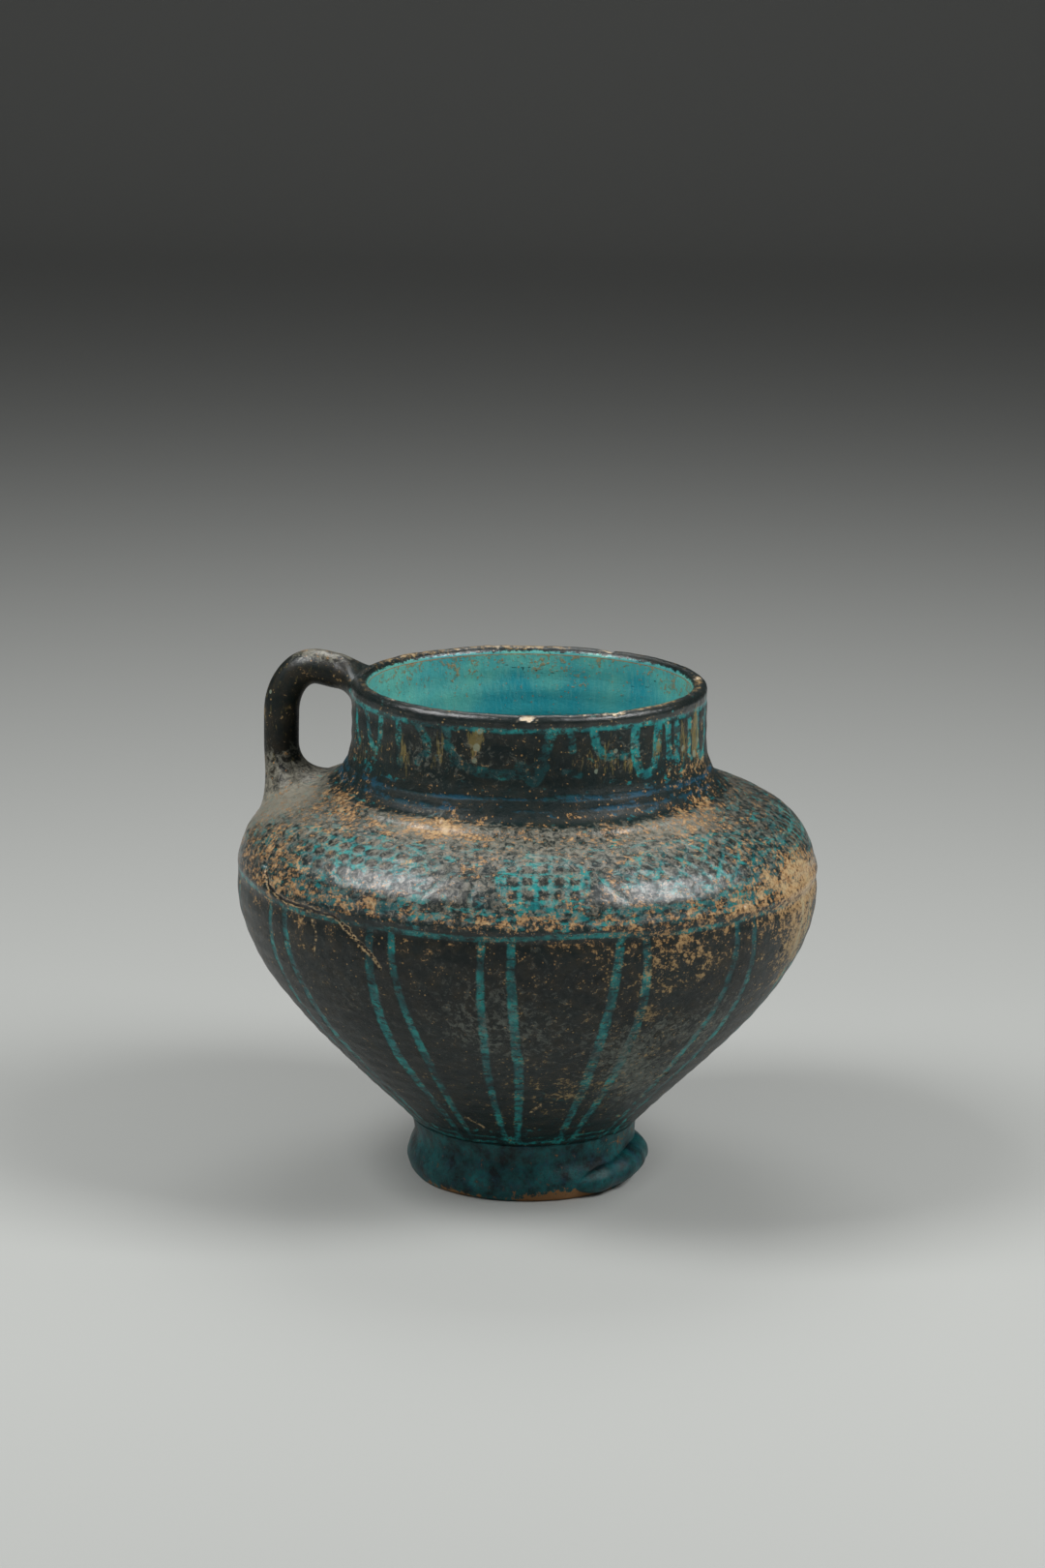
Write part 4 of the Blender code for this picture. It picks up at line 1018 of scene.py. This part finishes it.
# Handle: a pulled rod bent into a loop, its ends spread on the neck and the shoulder
handlePiece = {
    "depth": 10.2, "width": 11.0, "around": 64, "filletSteps": 34, "edgeLift": 0.05, "sunk": -1.6,
    "crestRise": 5.1, "crestRun": 12.5, "springRun": 6.8, "springDrop": 0.9, "fingerRoom": 17.9,
    "crestPull": 1.9, "bendDrop": 14.0, "limbDrop": 22.5, "quarter": 0.5523,  # pull for a quarter circle
    "springSteps": 14, "bendSteps": 60, "limbSteps": 20, "uneven": 0.05, "lump": 9,
    "topDrop": 4.9, "topHalfHigh": 5.3, "topHalfWide": 15.5, "topPull": 3.6, "topFlow": 6.0,
    "baseRun": 16.0, "baseHalfLong": 14.5, "baseHalfWide": 16.5, "basePull": 7.5, "baseFlow": 6.5,
}


def footprint(centre, halfLong, halfWide, lift, angle):
    # Oval on the wall under the handle, first point highest up the profile
    walk = centre + halfLong * np.cos(angle)
    radius, height, normR, normZ = outside(walk)
    turn = handleTurn - np.degrees(halfWide * np.sin(angle) / radius)
    points = spin(turn, radius + lift * normR, height + lift * normZ)
    # past the end of the upright neck the oval goes on round the lip
    over = np.maximum(walk - lipWalk, 0.0) / lipHalf
    points[:, :2] *= 1.0 - (lipHalf * (1.0 - np.cos(over)) / np.hypot(points[:, 0], points[:, 1]))[:, None]
    points[:, 2] += lipHalf * np.sin(over)
    return points


def makeHandle(settings):
    # Oval cross-sections carried along the loop, then flared through cubic fillets onto the wall
    angle = np.linspace(0.0, 2 * math.pi, settings["around"], endpoint=False)
    neckRadius, lip = bodySizes["neckStart"][0], bodySizes["lipHeight"]
    crestHeight = lip + settings["crestRise"] - settings["depth"] / 2
    reach = neckRadius + settings["fingerRoom"] + settings["depth"] / 2
    crest = np.array([neckRadius + settings["crestRun"], crestHeight])
    spring = np.array([neckRadius + settings["springRun"], crestHeight - settings["springDrop"]])
    bend = np.array([reach, crestHeight - settings["bendDrop"]])
    limb = np.array([reach, crestHeight - settings["limbDrop"]])
    out, upBend = np.array([1.0, 0.0]), np.array([0.0, settings["bendDrop"] * settings["quarter"]])
    path = np.concatenate([
        cubicCurve((spring, spring + (crest - spring) / 3, crest - out * settings["crestPull"], crest),
                   settings["springSteps"])[:-1],
        cubicCurve((crest, crest + out * (reach - crest[0]) * settings["quarter"], bend + upBend, bend),
                   settings["bendSteps"])[:-1],
        np.linspace(bend, limb, settings["limbSteps"])])
    way = unitRows(np.gradient(path, axis=0))
    offset = settings["depth"] / 2 * np.cos(angle)
    radial, height = path[:, :1] - way[:, 1:] * offset, path[:, 1:] + way[:, :1] * offset
    across = settings["width"] / 2 * np.sin(angle)
    heading = math.radians(handleTurn + frontAngle)
    c, s = math.cos(heading), math.sin(heading)
    rod = np.stack([radial * c + across * s, radial * s - across * c, height], axis=-1)

    def spreadEnd(oval, angles, ring, before, pull, flow):
        # Rings from the rod's last ring along the wall to an oval on it, then sunk into the wall and closed
        centre, halfLong, halfWide = oval
        edge = footprint(*oval, settings["edgeLift"], angles)
        smaller = footprint(centre, 0.8 * halfLong, 0.8 * halfWide, settings["edgeLift"], angles)
        lead = ring + unitRows(ring.mean(0) - before.mean(0)) * pull
        land = edge - unitRows(edge - smaller) * flow
        fillet = cubicCurve((ring, lead, land, edge), settings["filletSteps"])
        sunk = footprint(*oval, settings["sunk"], angles)
        return [*fillet[1:], sunk, np.broadcast_to(sunk.mean(0), sunk.shape)]

    top = (float(walkAtHeight(lip - settings["topDrop"])), settings["topHalfHigh"], settings["topHalfWide"])
    base = (neckSeamWalk - settings["baseRun"], settings["baseHalfLong"], settings["baseHalfWide"])
    topFlow = settings["topFlow"] * (1 - np.cos(angle))[:, None] / 2
    topRings = spreadEnd(top, angle, rod[0], rod[1], settings["topPull"], topFlow)
    baseRings = spreadEnd(base, math.pi - angle, rod[-1], rod[-2], settings["basePull"], settings["baseFlow"])
    points = np.stack([*topRings[::-1], *rod, *baseRings])
    # pulled clay is never quite even
    swell = settings["uneven"] * (softNoise(*np.moveaxis(points / settings["lump"], -1, 0), 31) - 0.5)
    count = len(points)
    row = np.arange(count)[:, None]
    free = between((3, 14, count - 4, count - 15), row)
    points = points + (points - points.mean(1, keepdims=True)) * (swell * free)[..., None]
    low, crown = smoothStep(129.0, 114.0, points[..., 2]), smoothStep(146.0, 151.0, points[..., 2])
    # the pale film on the crown is a painted highlight; low on the handle it is dust
    own = {"ornament": farOff, "wear": 0.40 + 0.06 * crown, "dustAndSheen": 0.06 + 0.60 * crown + 0.60 * low,
           "ochre": 0.50, "haze": 0.0, "dim": 0.0, "glass": 0.14 + 0.86 * crown,
           "olive": 0.6 * (1.0 - low) * (1.0 - crown)}
    # where the ends spread out, the handle takes on the painting and weather of the wall
    fields, away = nearWall(points)
    close = smoothStep(3.0, 0.3, away)
    fields.update({key: value + close * (fields[key] - value) for key, value in own.items()})
    return gridPiece("handleRod", points, fields, [wallGlaze], poles=True, sharp=180.0), top, base


handle, topBed, baseBed = makeHandle(handlePiece)
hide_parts("handle")

# Slip smoothed round the two ends of the handle
bedPiece = {"around": 96, "rings": 16, "spread": 1.22, "sink": 0.5, "under": -1.2,
            "lift": {"handleTopBed": 0.04, "handleBaseBed": 0.25}}
for name, node, (centre, halfLong, halfWide) in (("handleTopBed", "handle_top_slip", topBed),
                                                 ("handleBaseBed", "handle_base_slip", baseBed)):
    angle = np.linspace(0.0, 2 * math.pi, bedPiece["around"], endpoint=False)
    shares = np.linspace(0.0, bedPiece["spread"], bedPiece["rings"])
    lifts = bedPiece["lift"][name] - bedPiece["sink"] * smoothStep(0.9, bedPiece["spread"], shares)
    rings = [*zip(shares, lifts), *[(share, bedPiece["under"]) for share in shares[::-1]]]
    points = np.stack([footprint(centre, halfLong * share, halfWide * share, lift, angle)
                       for share, lift in rings])
    bed = gridPiece(name, points, nearWall(points)[0], [wallGlaze], poles=True, sharp=180.0)
    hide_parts(node)
print("handle made")

# Pale sweep, camera at the photograph's angle, and soft studio light
heading = math.radians(frontAngle)
right = Vector((-math.sin(heading), math.cos(heading), 0.0))
away = Vector((-math.cos(heading), -math.sin(heading), 0.0))
up = Vector((0.0, 0.0, 1.0))
sweep = {"wide": 4.0, "near": -2.2, "far": 2.4, "bend": 0.9, "high": 2.6, "steps": 80, "colour": "#B4B6B3",
         "shares": [(0.0, 0.4), (0.4, 0.3), (0.7, 0.3)]}  # start and length of floor, bend and wall


def makeSweep(settings):
    # A floor that curves up behind into a wall: straight, a quarter circle, straight
    share = np.linspace(0.0, 1.0, settings["steps"])[:, None]
    floorShare, bendShare, wallShare = [np.clip((share - a) / b, 0.0, 1.0) for a, b in settings["shares"]]
    arc = bendShare * math.pi / 2
    y = settings["near"] + (settings["far"] - settings["near"]) * floorShare + settings["bend"] * np.sin(arc)
    z = settings["bend"] * (1.0 - np.cos(arc)) + settings["high"] * wallShare
    x = np.array([-settings["wide"], settings["wide"]])
    points = np.stack(np.broadcast_arrays(x, y, z), axis=-1).reshape(-1, 3) @ np.array([right, away, up])
    ids = np.arange(len(points)).reshape(-1, 2)
    faces = np.concatenate([ids[:-1], ids[1:, ::-1]], axis=1)
    mesh = bpy.data.meshes.new("paleSweep")
    mesh.from_pydata(points.tolist(), [], faces.tolist())
    mesh.shade_smooth()
    material, node, colour = newMaterial("mattPaper", {"paper": settings["colour"]})
    node("OutputMaterial", [node("BsdfPrincipled", {"Base Color": colour["paper"], "Roughness": 0.9})])
    mesh.materials.append(material)
    floor = bpy.data.objects.new("paleSweep", mesh)
    bpy.context.scene.collection.objects.link(floor)
    return floor


makeSweep(sweep)

view = {
    "aim": (0.0, 0.0, 0.0812), "distance": 1.260, "elevation": 14.6, "roll": 0.8,
    "lens": 100.0, "sensor": 36.0, "clip": (0.05, 50.0),
    "aside": 4.97, "below": 118.36, "focalPixels": 4500.0,  # where the aim point falls, in pixels
    # lamps: name, way from the jug as right, back and up, distance, size and power
    "lamps": [
        ("softboxLeft", (-0.62, -0.20, 0.76), 0.95, 0.42, 6.4),
        ("softboxRight", (0.66, -0.27, 0.70), 0.95, 0.42, 7.0),
        ("softboxTop", (0.0, 0.52, 0.85), 1.1, 0.55, 2.8),
        ("frontFill", (-0.15, -0.92, 0.40), 1.7, 1.1, 0.8),
    ],
    "world": 0.06,
}
aim = Vector(view["aim"])


def makeCamera(settings):
    # Looks at the aim point, rolled a little, and tipped so that it falls below the middle of the frame
    rise, roll = math.radians(settings["elevation"]), math.radians(settings["roll"])
    back = -away * math.cos(rise) + up * math.sin(rise)
    stand = aim + back * settings["distance"]
    level = away * math.sin(rise) + up * math.cos(rise)
    sideWay = right * math.cos(roll) + level * math.sin(roll)
    upWay = level * math.cos(roll) - right * math.sin(roll)
    tipped = back * settings["focalPixels"] + sideWay * settings["aside"] - upWay * settings["below"]
    back = tipped.normalized()
    sideWay = upWay.cross(back).normalized()
    turnTo = Matrix((sideWay, back.cross(sideWay), back)).transposed().to_4x4()
    data = bpy.data.cameras.new("photoCamera")
    data.lens, data.sensor_width, data.sensor_fit = settings["lens"], settings["sensor"], "AUTO"
    data.clip_start, data.clip_end = settings["clip"]
    camera = bpy.data.objects.new("photoCamera", data)
    bpy.context.scene.collection.objects.link(camera)
    camera.matrix_world = Matrix.Translation(stand) @ turnTo
    return camera


bpy.context.scene.camera = makeCamera(view)
for name, way, far, size, power in view["lamps"]:
    light = bpy.data.lights.new(name, "AREA")
    light.shape, light.size, light.energy = "SQUARE", size, power
    lamp = bpy.data.objects.new(name, light)
    direction = (right * way[0] + away * way[1] + up * way[2]).normalized()
    lamp.location = aim + direction * far
    lamp.rotation_euler = direction.to_track_quat("Z", "Y").to_euler()
    bpy.context.scene.collection.objects.link(lamp)
world = bpy.data.worlds.new("studio")
world.use_nodes = True
background = world.node_tree.nodes["Background"].inputs
background[0].default_value, background[1].default_value = (1.0, 1.0, 1.0, 1.0), view["world"]
bpy.context.scene.world = world
bpy.context.scene.view_settings.view_transform = "Standard"
print("stage set")
